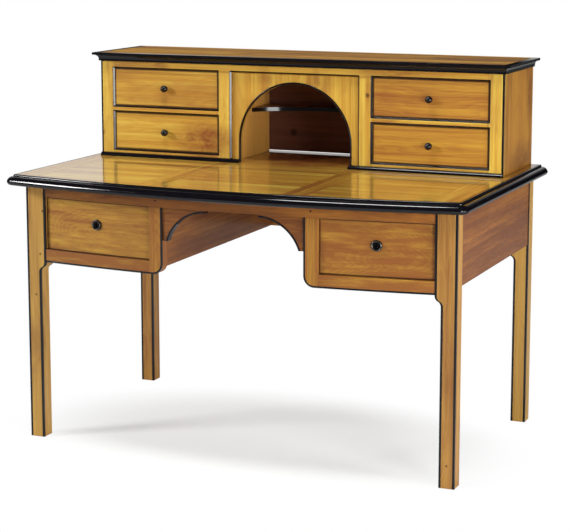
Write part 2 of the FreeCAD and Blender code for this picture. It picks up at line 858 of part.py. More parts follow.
openings = [("niche", (-half_niche, half_niche), S.desk_height, rail_foot, False)]
for name, side in SIDES.items():
    small_x = across(side, opening_near, opening_far)
    openings.append((f"lower_{name}", small_x, lower_foot, lower_foot + small_height, True))
    openings.append((f"upper_{name}", small_x, upper_foot, upper_foot + small_height, True))
bead_pairs = [opening_bead(*opening) for opening in openings]
keep(group("opening_beads", *[bead for bead, rebate in bead_pairs]))
corner_beads = [
    box(
        f"corner_bead_{name}",
        across(side, unit_half - S.bead_width, unit_half),
        (unit_front, unit_front + S.bead_width),
        unit_z,
    )
    for name, side in SIDES.items()
]
keep(group("corner_beads", *corner_beads))
rebates = fuse("face_rebates", *[rebate for bead, rebate in bead_pairs])
face_y = (unit_front, face_back)
unit_stiles, unit_rails = [], []
for (name, side), corner_bead in zip(SIDES.items(), corner_beads):
    outer = box(f"outer_stile_block_{name}", across(side, opening_far, unit_half), face_y, unit_z)
    unit_stiles.append(cut(f"outer_stile_{name}", outer, rebates, corner_bead))
    inner = box(
        f"inner_stile_block_{name}",
        across(side, half_niche, opening_near),
        face_y,
        (S.desk_height, rail_foot),
    )
    unit_stiles.append(cut(f"inner_stile_{name}", inner, rebates))
    for level, foot, head in (
        ("bottom", S.desk_height, lower_foot),
        ("middle", upper_foot - S.middle_rail, upper_foot),
    ):
        rail_x = across(side, opening_near, opening_far)
        rail = box(f"{level}_unit_rail_block_{name}", rail_x, face_y, (foot, head))
        unit_rails.append(cut(f"{level}_unit_rail_{name}", rail, rebates))
head_rail = box("head_rail_block", (-opening_far, opening_far), face_y, (rail_foot, unit_head))
unit_rails.append(cut("head_rail", head_rail, rebates))
keep(group("unit_stiles", *unit_stiles))
keep(group("unit_rails", *unit_rails))

# Arched panel in the niche's mouth, with a black bead round the arch
panel_face = derived("panel_face", unit_front + S.panel_inset)
panel_y = (panel_face, panel_face + S.panel_thick)
arch_radius = derived("arch_radius", S.arch_width / 2)
spring_z = derived("spring_z", S.desk_height + S.arch_spring)


def arch_plug(name, radius, y):
    """Arch-shaped solid, open down to the desk top."""
    legs = box(name + "_legs", (-radius, radius), y, (S.desk_height, spring_z))
    crown = rod(name + "_crown", radius, (0, y[0], spring_z), y[1] - y[0], ALONG_Y)
    above = box(name + "_above", (-radius, radius), y, (spring_z, spring_z + radius))
    return fuse(name, legs, common(name + "_upper", crown, above))


arch_bead_y = (panel_face - S.arch_bead_proud, panel_face + S.bead_depth)
arch_clear_y = (arch_bead_y[0] - S.overrun, panel_y[1] + S.overrun)
arch_clear = arch_plug("arch_clear", arch_radius, arch_clear_y)
arch_band = arch_plug("arch_band", arch_radius + S.arch_bead, arch_bead_y)
panel_block = box("arch_panel_block", (-half_niche, half_niche), panel_y, (S.desk_height, rail_foot))
keep(cut("arch_panel", panel_block, arch_clear, arch_band))
keep(cut("arch_bead", arch_band, arch_clear))

# Shelf with a hollow front, housed in the partitions, and its black edge
shelf_radius = derived(
    "shelf_radius", (half_niche * half_niche + S.shelf_hollow * S.shelf_hollow) / (2 * S.shelf_hollow)
)
shelf_centre = (0, shelf_front + S.shelf_hollow - shelf_radius, shelf_z[0])
shelf_mouth = rod("shelf_mouth", shelf_radius, shelf_centre, S.shelf_thick)
shelf_round = rod("shelf_round", shelf_radius + S.shelf_edge, shelf_centre, S.shelf_thick)
keep(cut("niche_shelf", shelf_block, shelf_round))
keep(cut("shelf_edge", common("shelf_strip", shelf_block, shelf_round), shelf_mouth))

# Top board of the upper unit, its mitred black cornice and the base mouldings
crown_z = (unit_head, unit_head + S.cornice_height)
keep(box("unit_top", (-unit_half, unit_half), (unit_front, back_y), crown_z))


def cornice_section():
    """Section of the cornice: fillet, step, cove and foot. Reach along +X, height along Z."""
    foot, head = unit_head.number, unit_head.number + S.cornice_height.number
    reach = S.cornice_reach.number
    fillet_foot = head - S.cornice_fillet.number
    step = reach - S.cornice_step.number
    cove_foot = foot + S.cornice_foot.number
    sole = S.cornice_foot.number
    hollow_share = 1 - math.sqrt(0.5)
    cove_middle = Vector(
        sole + (step - sole) * hollow_share, 0, fillet_foot - (fillet_foot - cove_foot) * hollow_share
    )
    corners = [
        Vector(0, 0, foot),
        Vector(0, 0, head),
        Vector(reach, 0, head),
        Vector(reach, 0, fillet_foot),
        Vector(step, 0, fillet_foot),
        Vector(sole, 0, cove_foot),
        Vector(sole, 0, foot),
    ]
    edges = [Part.makeLine(a, b) for a, b in zip(corners[:4], corners[1:5])]
    edges.append(Part.Arc(corners[4], cove_middle, corners[5]).toShape())
    edges.append(Part.makeLine(corners[5], corners[6]))
    edges.append(Part.makeLine(corners[6], corners[0]))
    return closed_face(edges)


def mitre_half(corner, side):
    """Block on the front side of the mitre plane at one front corner of the cornice."""
    size = 2 * S.unit_width.number
    block = Part.makeBox(2 * size, size, 2 * S.unit_height.number)
    block.translate(Vector(-size, -size, 0))
    mitre_turn = 45
    block.rotate(Vector(), Z_AXIS, -side * mitre_turn)
    block.translate(Vector(corner.x, corner.y, S.desk_height.number))
    return block


section = cornice_section()
reach = S.cornice_reach.number
front_run = section_at(section, -unit_half.number - reach, unit_front.number, facing_front)
front_run = front_run.extrude(Vector(S.unit_width.number + 2 * reach, 0, 0))
cornice = []
for name, side in SIDES.items():
    corner = Vector(side * unit_half.number, unit_front.number, 0)
    front_half = mitre_half(corner, side)
    side_run = section_at(section, corner.x, corner.y - reach, facing_front + side * 90)
    side_run = side_run.extrude(Vector(0, S.unit_depth.number + reach, 0))
    front_run = front_run.common(front_half)
    cornice.append(feature(f"cornice_{name}", side_run.cut(front_half)))
cornice.append(feature("cornice_front", front_run))
keep(group("cornice", *cornice))

base_mouldings = []
for name, side in SIDES.items():
    strip_x = across(side, arch_radius, unit_half)
    strip = box(
        f"base_block_{name}",
        strip_x,
        (unit_front - S.base_round, unit_front),
        (S.desk_height, S.desk_height + S.base_round),
    )
    round_bar = rod(
        f"base_bar_{name}",
        S.base_round,
        (strip_x[0], unit_front, S.desk_height),
        strip_x[1] - strip_x[0],
        ALONG_X,
    )
    base_mouldings.append(common(f"base_moulding_{name}", strip, round_bar))
keep(group("base_mouldings", *base_mouldings))


tail_end_share = 0.36
tail_root_share = 0.28


def dovetails(name, x, y, z, count):
    """Row of tails on the front end of a drawer side, wide at their ends and narrow at the root."""
    pitch = (z[1] - z[0]) / count
    tails = []
    for index in range(count):
        middle = z[0] + pitch * index + pitch / 2
        end_z = (middle - pitch * tail_end_share, middle + pitch * tail_end_share)
        root_z = (middle - pitch * tail_root_share, middle + pitch * tail_root_share)
        tails.append(wedge(f"{name}_tail_{index}", x, y, end_z, x, root_z))
    return tails


def drawer_box(name, x, y, z, boards, tails_y, tail_count, trims=None):
    """Dovetailed sides, a housed back and a grooved-in bottom, and the solids that its front is cut by.

    boards gives the wall, the bottom, the groove's depth and the bottom's lift. The trims bring the
    front ends of the sides and of the bottom to a bowed front.
    """
    wall, bottom, groove, lift = boards
    inner_x = (x[0] + wall, x[1] - wall)
    housed_x = (inner_x[0] - groove, inner_x[1] + groove)
    bottom_z = (z[0] + lift, z[0] + lift + bottom)
    panel = box(f"{name}_bottom", housed_x, (y[0] - groove, y[1]), bottom_z)
    if trims:
        panel = common(f"{name}_bottom_trimmed", panel, trims[1])
    back = box(f"{name}_back", housed_x, (y[1] - wall, y[1]), (bottom_z[1], z[1]))
    pieces, tails = [panel, back], []
    for rank, side_x, tail_y in (
        ("near", (x[0], inner_x[0]), tails_y[0]),
        ("far", (inner_x[1], x[1]), tails_y[1]),
    ):
        board = box(f"{name}_{rank}_board", side_x, y, z)
        if trims:
            board = common(f"{name}_{rank}_board_trimmed", board, trims[0])
        row = dovetails(f"{name}_{rank}", side_x, tail_y, z, tail_count)
        tailed = fuse(f"{name}_{rank}_side", board, *row)
        tailed.Refine = True
        pieces.append(cut(f"{name}_{rank}_side_grooved", tailed, panel, back))
        tails += row
    return group(f"{name}_box", *pieces), [*tails, panel]


# Desk drawers: bowed front, box, keyhole plate and a let-in lock with its bolt
front_layer = bow_shell("drawer_front_layer", S.drawer_inset, S.drawer_inset + S.drawer_front)
front_depth = S.drawer_inset + S.drawer_front
behind_front = bow_disc("behind_drawer_front", front_depth)
behind_groove = bow_disc("behind_drawer_groove", front_depth - S.drawer_groove)
front_foot = opening_foot + S.drawer_gap
front_head = derived("front_head", opening_head - S.drawer_gap)
keyhole_z = derived("keyhole_z", front_head - S.keyhole_drop)
rim_step = S.escutcheon_rim / 2
rim_inner = S.escutcheon_radius - S.escutcheon_rim
plate_rings = [
    (S.escutcheon_radius, 0 * S.escutcheon_skirt),
    (S.escutcheon_radius, S.escutcheon_skirt),
    (S.escutcheon_radius - rim_step, S.escutcheon_reach),
]
dish_rings = [
    (rim_inner - rim_step, S.escutcheon_dish),
    (rim_inner, S.escutcheon_reach),
]
PLATE_FACETS = 18
KEY_FACETS = 12
DESK_TAIL_COUNT = 4
desk_boards = (S.drawer_wall, S.drawer_bottom, S.drawer_groove, S.drawer_bottom_lift)


def desk_tail_y(x):
    """Y span of the tails on a desk drawer's side, from the lap in its front to behind the bow."""
    return (bow_y(S.drawer_inset + S.drawer_lap, x), bow_y(front_depth, x) + S.overrun)


for name, side in SIDES.items():
    drawer = f"desk_drawer_{name}"
    key_x = lock_x[name]
    front_x = across(side, front_near[name], front_far)
    front_block = box(f"{drawer}_front_block", front_x, front_span, (front_foot, front_head))
    lock_span = across(side, key_x - S.lock_width / 2, key_x + S.lock_width / 2)
    recess = box(
        f"{drawer}_lock_recess",
        (lock_span[0] - S.lock_fit, lock_span[1] + S.lock_fit),
        (lock_y - S.lock_fit, front_span[1]),
        (front_head - S.lock_height - S.lock_fit, front_head + S.overrun),
    )
    lock_angle = math.degrees(math.asin(key_x.number / bow_radius.number))
    toward_front = Rotation(Z_AXIS, side * lock_angle).multiply(toward_sitter)
    key_place = (side * key_x, bow_y(S.drawer_inset, key_x), keyhole_z)
    hole_radius = S.spigot_radius + S.knob_fit
    hole_rings = [(hole_radius, -2 * S.spigot_length), (hole_radius, S.overrun)]
    spigot_hole = faceted(f"{drawer}_spigot_hole", PLATE_FACETS, hole_rings)
    spigot_hole.Placement.Rotation = toward_front
    put(spigot_hole, *key_place)
    box_z = (opening_foot + S.run_gap, opening_foot + S.run_gap + S.drawer_wall_height)
    tails_y = [desk_tail_y(front_x[0] + S.drawer_wall / 2), desk_tail_y(front_x[1] - S.drawer_wall / 2)]
    drawer_body, let_in = drawer_box(
        drawer, front_x, (front_span[0], drawer_end), box_z,
        desk_boards, tails_y, DESK_TAIL_COUNT, (behind_front, behind_groove),
    )
    front_bowed = common(f"{drawer}_front_bowed", front_block, front_layer)
    keep(cut(f"{drawer}_front", front_bowed, recess, spigot_hole, *let_in))
    keep(drawer_body)
    through = (-(S.spigot_length + S.overrun), S.escutcheon_reach + S.overrun)
    key_rings = [(S.key_radius, through[0]), (S.key_radius, through[1])]
    key_round = faceted(f"{drawer}_key_round", KEY_FACETS, key_rings)
    slot_half = S.key_slot_width / 2
    slot_drop = (-S.key_slot_drop, 0 * S.key_slot_drop)
    key_slot = box(f"{drawer}_key_slot", (-slot_half, slot_half), slot_drop, through)
    plate_blank = fuse(
        f"{drawer}_plate_blank",
        faceted(f"{drawer}_plate", PLATE_FACETS, plate_rings),
        faceted(
            f"{drawer}_plate_spigot",
            PLATE_FACETS,
            [(S.spigot_radius, -S.spigot_length), (S.spigot_radius, 0 * S.spigot_length)],
        ),
    )
    dish = faceted(f"{drawer}_plate_dish", PLATE_FACETS, dish_rings)
    escutcheon = keep(cut(f"{drawer}_escutcheon", plate_blank, dish, key_round, key_slot))
    escutcheon.Placement.Rotation = toward_front
    put(escutcheon, *key_place)
    lock_block = box(
        f"{drawer}_lock_block",
        lock_span,
        (lock_y, lock_y + S.lock_thick),
        (front_head - S.lock_height, front_head),
    )
    bolt_x = across(side, key_x - S.bolt_width / 2, key_x + S.bolt_width / 2)
    bolt_span = (bolt_y, bolt_y + S.bolt_thick)
    channel = box(
        f"{drawer}_bolt_channel",
        (bolt_x[0] - S.run_gap, bolt_x[1] + S.run_gap),
        (bolt_span[0] - S.run_gap, bolt_span[1] + S.run_gap),
        (front_head - S.bolt_height - S.run_gap, front_head + S.overrun),
    )
    keep(cut(f"{drawer}_lock", lock_block, channel))
    keep(box(f"{drawer}_bolt", bolt_x, bolt_span, (front_head - S.bolt_height, front_head)))

# Small drawers of the upper unit, each with a black ball knob on a spigot
knob_centre = S.knob_reach - S.knob_ball
neck_drop = root(S.knob_ball * S.knob_ball - S.knob_neck * S.knob_neck)
neck_angle = math.asin(S.knob_neck.number / S.knob_ball.number)
tip_angle = math.radians(170)
BALL_BAND_COUNT = 5
KNOB_FACETS = 18
SMALL_TAIL_COUNT = 3
knob_rings = [
    (S.knob_neck, -S.knob_spigot_length),
    (S.knob_neck, knob_centre - neck_drop),
]
for index in range(BALL_BAND_COUNT):
    ball_angle = neck_angle + (tip_angle - neck_angle) * (index + 1) / BALL_BAND_COUNT
    radius_share = math.sin(ball_angle)
    height_share = -math.cos(ball_angle)
    knob_rings.append((S.knob_ball * radius_share, knob_centre + S.knob_ball * height_share))
small_boards = (S.small_wall, S.small_bottom, S.small_groove, S.small_bottom_lift)
small_face = derived("small_face", unit_front + S.small_inset)
small_back = derived("small_back", unit_front + S.small_reach)
front_back = derived("front_back", small_face + S.small_front)
small_tail_y = (small_face + S.small_lap, front_back + S.overrun)
for level, foot in (("lower", lower_foot), ("upper", upper_foot)):
    for name, side in SIDES.items():
        drawer = f"{level}_{name}_drawer"
        gap = S.small_gap
        front_x = across(side, opening_near + gap, opening_far - gap)
        front_z = (foot + gap, foot + small_height - gap)
        front_slab = box(f"{drawer}_front_block", front_x, (small_face, front_back), front_z)
        knob_place = (
            side * (opening_near + opening_far) / 2, small_face, foot + small_height / 2
        )
        hole_radius = S.knob_neck + S.knob_fit
        hole_rings = [(hole_radius, -S.knob_spigot_length), (hole_radius, 0 * S.knob_spigot_length)]
        knob_hole = faceted(f"{drawer}_knob_hole", KNOB_FACETS, hole_rings)
        knob_hole.Placement.Rotation = toward_sitter
        put(knob_hole, *knob_place)
        box_z = (foot + S.run_gap, foot + S.run_gap + S.small_wall_height)
        drawer_body, let_in = drawer_box(
            drawer, front_x, (front_back, small_back), box_z,
            small_boards, (small_tail_y, small_tail_y), SMALL_TAIL_COUNT,
        )
        keep(cut(f"{drawer}_front", front_slab, knob_hole, *let_in))
        keep(drawer_body)
        knob = faceted(f"{drawer}_knob", KNOB_FACETS, knob_rings)
        knob.Placement.Rotation = toward_sitter
        keep(put(knob, *knob_place))

doc.recompute()
failed = [item.Name for item in doc.Objects if {"Invalid", "Error"} & set(item.State)]
if failed:
    raise RuntimeError(f"objects that failed: {failed}")
for node in nodes:
    if node.Shape.isNull() or not node.Shape.isValid() or not node.Shape.Solids:
        raise RuntimeError(f"bad shape: {node.Label}")
os.makedirs("parts", exist_ok=True)
for node in nodes:
    node.Shape.exportStep(f"parts/{node.Label}.step")
print(len(nodes), "nodes,", sum(len(node.Shape.Solids) for node in nodes), "solids")
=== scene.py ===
import json
import math
import random

import bpy
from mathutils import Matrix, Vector

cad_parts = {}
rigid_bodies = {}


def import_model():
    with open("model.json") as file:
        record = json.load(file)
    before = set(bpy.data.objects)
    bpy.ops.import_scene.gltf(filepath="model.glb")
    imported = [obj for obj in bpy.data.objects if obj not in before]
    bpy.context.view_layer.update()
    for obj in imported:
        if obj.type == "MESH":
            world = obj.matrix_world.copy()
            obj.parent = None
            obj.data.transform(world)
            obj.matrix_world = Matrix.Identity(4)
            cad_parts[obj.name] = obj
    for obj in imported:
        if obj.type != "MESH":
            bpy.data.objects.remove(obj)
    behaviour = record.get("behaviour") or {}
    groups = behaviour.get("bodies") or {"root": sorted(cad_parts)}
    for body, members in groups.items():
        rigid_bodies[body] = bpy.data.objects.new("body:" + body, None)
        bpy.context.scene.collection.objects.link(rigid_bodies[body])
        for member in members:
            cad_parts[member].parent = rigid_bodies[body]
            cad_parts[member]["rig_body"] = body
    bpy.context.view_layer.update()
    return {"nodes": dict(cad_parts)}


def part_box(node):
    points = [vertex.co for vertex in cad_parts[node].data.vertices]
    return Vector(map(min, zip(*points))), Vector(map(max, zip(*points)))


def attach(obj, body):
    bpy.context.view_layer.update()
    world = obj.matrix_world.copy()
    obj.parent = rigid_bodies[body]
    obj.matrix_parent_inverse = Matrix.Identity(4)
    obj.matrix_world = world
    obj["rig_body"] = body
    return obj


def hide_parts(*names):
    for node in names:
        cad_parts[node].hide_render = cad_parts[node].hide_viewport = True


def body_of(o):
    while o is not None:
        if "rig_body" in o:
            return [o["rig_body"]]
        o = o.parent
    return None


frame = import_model()

MM = 0.001
LONG_WAY, X, Y, Z = None, 0, 1, 2
AXES = (X, Y, Z)


# Working one piece at a time

# Points that count as one, faces that count as one plane, and edges sharp enough to be eased
SAME_POINT = 0.005 * MM
SAME_PLANE = math.radians(0.3)
SHARP_EDGE = math.radians(34)
# Steps round an eased arris, and round a bead
EASED_STEPS, ROUNDED_STEPS = 2, 4
# Faces that meet at fewer degrees than these are shaded as one
FLAT_WORK, ROUND_WORK = 32, 40


def hold(piece):
    """One piece alone is selected and active."""
    bpy.ops.object.select_all(action="DESELECT")
    piece.select_set(True)
    bpy.context.view_layer.objects.active = piece


def copy_of(piece, name):
    """A copy with its own mesh, selected and active."""
    hold(piece)
    bpy.ops.object.duplicate()
    copy = bpy.context.active_object
    copy.name = name
    return copy


def apply_modifier(piece, kind, **settings):
    """Adds a modifier, sets it and applies it."""
    hold(piece)
    modifier = piece.modifiers.new(kind.lower(), kind)
    for name, value in settings.items():
        setattr(modifier, name, value)
    bpy.ops.object.modifier_apply(modifier=modifier.name)


def true_faces(piece, degrees):
    """Smooth shading that leaves the flat faces flat."""
    hold(piece)
    bpy.ops.object.shade_smooth_by_angle(angle=math.radians(degrees))
    apply_modifier(piece, "WEIGHTED_NORMAL", mode="FACE_AREA", weight=100, keep_sharp=True)


def planed(node, arris, steps=EASED_STEPS):
    """A copy of a CAD node, its triangles joined into whole faces and its arrises eased."""
    piece = copy_of(frame["nodes"][node], node + "_finished")
    bpy.ops.object.parent_clear(type="CLEAR_KEEP_TRANSFORM")
    bpy.ops.object.mode_set(mode="EDIT")
    bpy.ops.mesh.select_all(action="SELECT")
    bpy.ops.mesh.remove_doubles(threshold=SAME_POINT)
    bpy.ops.mesh.dissolve_limited(angle_limit=SAME_PLANE)
    bpy.ops.object.mode_set(mode="OBJECT")
    if arris:
        apply_modifier(
            piece, "BEVEL", width=arris, segments=steps, limit_method="ANGLE",
            angle_limit=SHARP_EDGE, use_clamp_overlap=True, miter_outer="MITER_ARC",
        )
    true_faces(piece, FLAT_WORK)
    return piece


def turned(name, profile, sides):
    """A piece turned on the lathe: each height and radius of the profile is drawn on from the last."""
    bpy.ops.object.select_all(action="DESELECT")
    height, radius = profile[0]
    bpy.ops.mesh.primitive_circle_add(
        vertices=sides, radius=radius, fill_type="NGON", location=(0, 0, height)
    )
    piece = bpy.context.active_object
    piece.name = name
    bpy.ops.object.transform_apply(location=True)
    bpy.ops.object.mode_set(mode="EDIT")
    bpy.ops.mesh.select_all(action="SELECT")
    for next_height, next_radius in profile[1:]:
        rise, growth = next_height - height, next_radius / radius
        bpy.ops.mesh.extrude_region_move(TRANSFORM_OT_translate={"value": (0, 0, rise)})
        bpy.ops.transform.resize(value=(growth, growth, 1), center_override=(0, 0, next_height))
        height, radius = next_height, next_radius
    bpy.ops.mesh.select_all(action="SELECT")
    bpy.ops.mesh.normals_make_consistent(inside=False)
    bpy.ops.object.mode_set(mode="OBJECT")
    true_faces(piece, ROUND_WORK)
    return piece


def copy_to(pattern, name, place, turn=0.0):
    """Another of a turned piece, at its place and facing the front of the desk."""
    piece = copy_of(pattern, name)
    piece.rotation_euler = (math.radians(90), 0, turn)
    piece.location = place
    bpy.ops.object.transform_apply(location=True, rotation=True)
    return piece


# Grain

# Where in the tree a board may come from, in metres: along the trunk, aside and out from its heart
ALONG_TRUNK, ASIDE, FROM_HEART = (-4, 4), (-0.05, 0.05), (0.05, 0.13)
# Added to half a board's thickness, so that its broad faces don't count as edges
FACE_CLEAR = 1.0
# A board that is less than this many times as wide as thick has four broad faces
SQUARE_BOARD = 1.6
# A face counts as a front where its normal points this far along -Y
FRONT_NORMAL = 0.5


def boards_of(piece):
    """The vertices of each separate board in a piece."""
    mesh = piece.data
    chain = list(range(len(mesh.vertices)))

    def end_of(vertex):
        while chain[vertex] != vertex:
            chain[vertex] = chain[chain[vertex]]
            vertex = chain[vertex]
        return vertex

    for edge in mesh.edges:
        chain[end_of(edge.vertices[0])] = end_of(edge.vertices[1])
    boards = {}
    for vertex in mesh.vertices:
        boards.setdefault(end_of(vertex.index), []).append(vertex)
    return [boards[key] for key in sorted(boards)]


def lay_grain(piece, way=LONG_WAY, tone=0.0, differ=0.06):
    """Gives every board its own place in the tree, with the grain one way along it, its tone and edges."""
    attributes = piece.data.attributes
    names = ("figure", "from_middle", "half_size", "tone", "front")
    kinds = ("FLOAT_VECTOR", "FLOAT_VECTOR", "FLOAT_VECTOR", "FLOAT", "FLOAT")
    for name, kind in zip(names, kinds):
        attributes.new(name, kind, "FACE" if name == "front" else "POINT")
    figure, from_middle, half_size, shade, front = (attributes[name].data for name in names)
    for face in piece.data.polygons:
        front[face.index].value = 1.0 if -face.normal.y > FRONT_NORMAL else 0.0
    chance = random.Random(piece.name)
    for board in boards_of(piece):
        low = [min(v.co[axis] for v in board) for axis in AXES]
        high = [max(v.co[axis] for v in board) for axis in AXES]
        span = [high[axis] - low[axis] for axis in AXES]
        along = span.index(max(span)) if way is LONG_WAY else way
        wide, thin = sorted((axis for axis in AXES if axis != along), key=lambda axis: -span[axis])
        start = chance.uniform(*ALONG_TRUNK)
        aside = chance.uniform(*ASIDE)
        depth = chance.uniform(*FROM_HEART)
        board_tone = tone + chance.uniform(-differ, differ)
        middle = [(low[axis] + high[axis]) / 2 for axis in AXES]
        half = [span[axis] / 2 for axis in AXES]
        half[thin] += FACE_CLEAR
        if span[wide] < SQUARE_BOARD * span[thin]:
            half[wide] += FACE_CLEAR
        for v in board:
            from_middle[v.index].vector = [v.co[axis] - middle[axis] for axis in AXES]
            half_size[v.index].vector = half
            figure[v.index].vector = (
                v.co[along] + start,
                v.co[wide] - middle[wide] + aside,
                v.co[thin] - middle[thin] + depth,
            )
            shade[v.index].value = board_tone


# Finishes

# Noise keeps mostly between the first and the last, so they are spread over a finish's range of roughness
NOISE_LOW, NOISE_MIDDLE, NOISE_HIGH = 0.3, 0.5, 0.7
COAT_ROUGHNESS = 0.05


class Finish:
    """A material and short ways to add to its nodes."""

    def __init__(self, name):
        self.material = bpy.data.materials.new(name)
        self.material.use_nodes = True
        self.nodes = self.material.node_tree.nodes
        self.links = self.material.node_tree.links
        self.shader = self.nodes["Principled BSDF"]

    def feed(self, socket, value):
        if isinstance(value, bpy.types.NodeSocket):
            self.links.new(value, socket)
        else:
            socket.default_value = value

    def reckon(self, operation, first, second=0.0):
        node = self.nodes.new("ShaderNodeMath")
        node.operation = operation
        self.feed(node.inputs[0], first)
        self.feed(node.inputs[1], second)
        return node.outputs[0]

    def plus(self, first, second):
        return self.reckon("ADD", first, second)

    def times(self, first, second):
        return self.reckon("MULTIPLY", first, second)

    def most(self, first, second):
        return self.reckon("MAXIMUM", first, second)

    def arrow(self, operation, first, second=(0, 0, 0), output="Vector"):
        node = self.nodes.new("ShaderNodeVectorMath")
        node.operation = operation
        self.feed(node.inputs[0], first)
        self.feed(node.inputs[1], second)
        return node.outputs[output]

    def split(self, vector):
        node = self.nodes.new("ShaderNodeSeparateXYZ")
        self.feed(node.inputs[0], vector)
        return [node.outputs[axis] for axis in AXES]

    def spread(self, value, low, high, to_low=0.0, to_high=1.0, kind="LINEAR"):
        node = self.nodes.new("ShaderNodeMapRange")
        node.interpolation_type = kind
        self.feed(node.inputs["Value"], value)
        node.inputs["From Min"].default_value = low
        node.inputs["From Max"].default_value = high
        node.inputs["To Min"].default_value = to_low
        node.inputs["To Max"].default_value = to_high
        return node.outputs["Result"]

    def soft_spread(self, value, low, high, to_low=0.0, to_high=1.0):
        return self.spread(value, low, high, to_low, to_high, "SMOOTHSTEP")

    def attribute(self, name, output):
        node = self.nodes.new("ShaderNodeAttribute")
        node.attribute_name = name
        return node.outputs[output]

    def place(self):
        return self.nodes.new("ShaderNodeTexCoord").outputs["Object"]

    def noise(self, vector, scale, detail=2.0, roughness=0.5, swirl=0.0):
        stretch = self.nodes.new("ShaderNodeMapping")
        self.feed(stretch.inputs["Vector"], vector)
        stretch.inputs["Scale"].default_value = scale
        node = self.nodes.new("ShaderNodeTexNoise")
        self.feed(node.inputs["Vector"], stretch.outputs["Vector"])
        node.inputs["Scale"].default_value = 1.0
        node.inputs["Detail"].default_value = detail
        node.inputs["Roughness"].default_value = roughness
        node.inputs["Distortion"].default_value = swirl
        return node.outputs["Fac"]

    def ramp(self, share, stops):
        node = self.nodes.new("ShaderNodeValToRGB")
        self.feed(node.inputs["Fac"], share)
        points = node.color_ramp.elements
        while len(points) < len(stops):
            points.new(0.5)
        for point, (position, colour) in zip(points, stops):
            point.position = position
            point.color = (*colour, 1.0)
        return node.outputs["Color"]

    def mix(self, share, first, second):
        node = self.nodes.new("ShaderNodeMix")
        node.data_type = "RGBA"
        self.feed(node.inputs[0], share)
        for socket, colour in ((node.inputs[6], first), (node.inputs[7], second)):
            self.feed(socket, colour if isinstance(colour, bpy.types.NodeSocket) else (*colour, 1.0))
        return node.outputs[2]

    def paint(self, colour, noise, smoothest, roughest):
        """Colours the surface and lets a noise vary how rough it is."""
        roughness = self.spread(noise, NOISE_LOW, NOISE_HIGH, smoothest, roughest)
        self.feed(self.shader.inputs["Base Color"], colour)
        self.feed(self.shader.inputs["Roughness"], roughness)

    def bump(self, height, depth, strength):
        node = self.nodes.new("ShaderNodeBump")
        self.feed(node.inputs["Height"], height)
        node.inputs["Distance"].default_value = depth
        node.inputs["Strength"].default_value = strength
        self.links.new(node.outputs["Normal"], self.shader.inputs["Normal"])

    def gloss(self, specular, coat):
        self.shader.inputs["Specular IOR Level"].default_value = specular
        self.shader.inputs["Coat Weight"].default_value = coat
        self.shader.inputs["Coat Roughness"].default_value = COAT_ROUGHNESS


def srgb(red, green, blue):
    """A colour as a paint card gives it, 0 to 255, made linear."""
    def linear(step):
        share = step / 255
        return share / 12.92 if share <= 0.04045 else ((share + 0.055) / 1.055) ** 2.4
    return tuple(linear(step) for step in (red, green, blue))


# Figure of the wood: how often each part of it changes in a metre along, across and through the board
WANDER, CLOUDS, GRAIN, FIBRE = (1.8, 9, 9), (2.2, 12, 12), (2.6, 150, 150), (26, 760, 760)
FINE, MIDDLING, BROAD = (1.5, 52, 52), (2.2, 30, 30), (1.3, 21, 21)
CURL, UNEVEN_EDGE = (20, 20, 46), (30, 30, 30)
# How much each part moves the tone of a board
RING_WEIGHT, STREAK_WEIGHT, GRAIN_WEIGHT, FIBRE_WEIGHT, WANDER_WEIGHT = 0.07, 0.8, 0.5, 0.2, 0.3
# A board of tone nought stands here on the way from the light tone to the dark one
COMMON_TONE = 0.45
LIGHT_STOP, MIDDLE_STOP, DARK_STOP = 0.12, 0.5, 0.88
# The year's rings: their width, where late wood comes in each, and how far they wander or bend at a knot
RING_WIDTH, LATE_WOOD = 3.2 * MM, (0.2, 0.95)
RING_WANDER, KNOT_PUSH = 20 * RING_WIDTH, 5 * RING_WIDTH
# Knots, in their own size: how far off the rings bend, where the brown heart fades, and how strong it is
KNOT_BEND, KNOT_FADE, KNOT_STRENGTH, KNOT_BROWN = 4, (0.4, 1.2), 0.8, srgb(58, 28, 16)
# Where the noise turns to heartwood, how a stain and the painted niche shade fade with their reach, and how
# curl breaks them up
CLOUD_EDGE, STAIN_FADE, CURL_NOISE, CURL_STRENGTH = (0.5, 0.72), (0.2, 1.0), (0.3, 0.66), (0.4, 1.1)
# Painted shade along each board's narrow edges, and a painted shadow line round a drawer's front: how far in
# they fade, and how uneven the first are
EDGE_SHADE_DEPTH, EDGE_SWAY = (2 * MM, 9 * MM), 6 * MM
SHADOW_GAP_LINE, SHADOW_GAP_BROWN = (1.0 * MM, 3.4 * MM), srgb(34, 20, 14)
# The surface: how much rougher it is in places, how deep and strong its pores are, and its shine
WOOD_ROUGHER, PORE_DEPTH, PORE_STRENGTH, RING_RELIEF, WOOD_SHINE = 0.14, 0.1 * MM, 0.4, 0.3, 0.3


def late_wood_of(finish, figure, wander, knots):
    """The year's rings round the heart of the tree, pushed aside by knots: one in the dark late wood."""
    _, wide, thick = finish.split(figure)
    radius = finish.reckon("SQRT", finish.plus(finish.times(wide, wide), finish.times(thick, thick)))
    radius = finish.plus(radius, finish.times(wander, RING_WANDER))
    for away, size in knots:
        push = finish.spread(away, 0, KNOT_BEND * size, 1, 0, "SMOOTHERSTEP")
        radius = finish.plus(radius, finish.times(push, KNOT_PUSH))
    ring = finish.reckon("FRACT", finish.reckon("DIVIDE", radius, RING_WIDTH))
    return finish.soft_spread(ring, *LATE_WOOD)


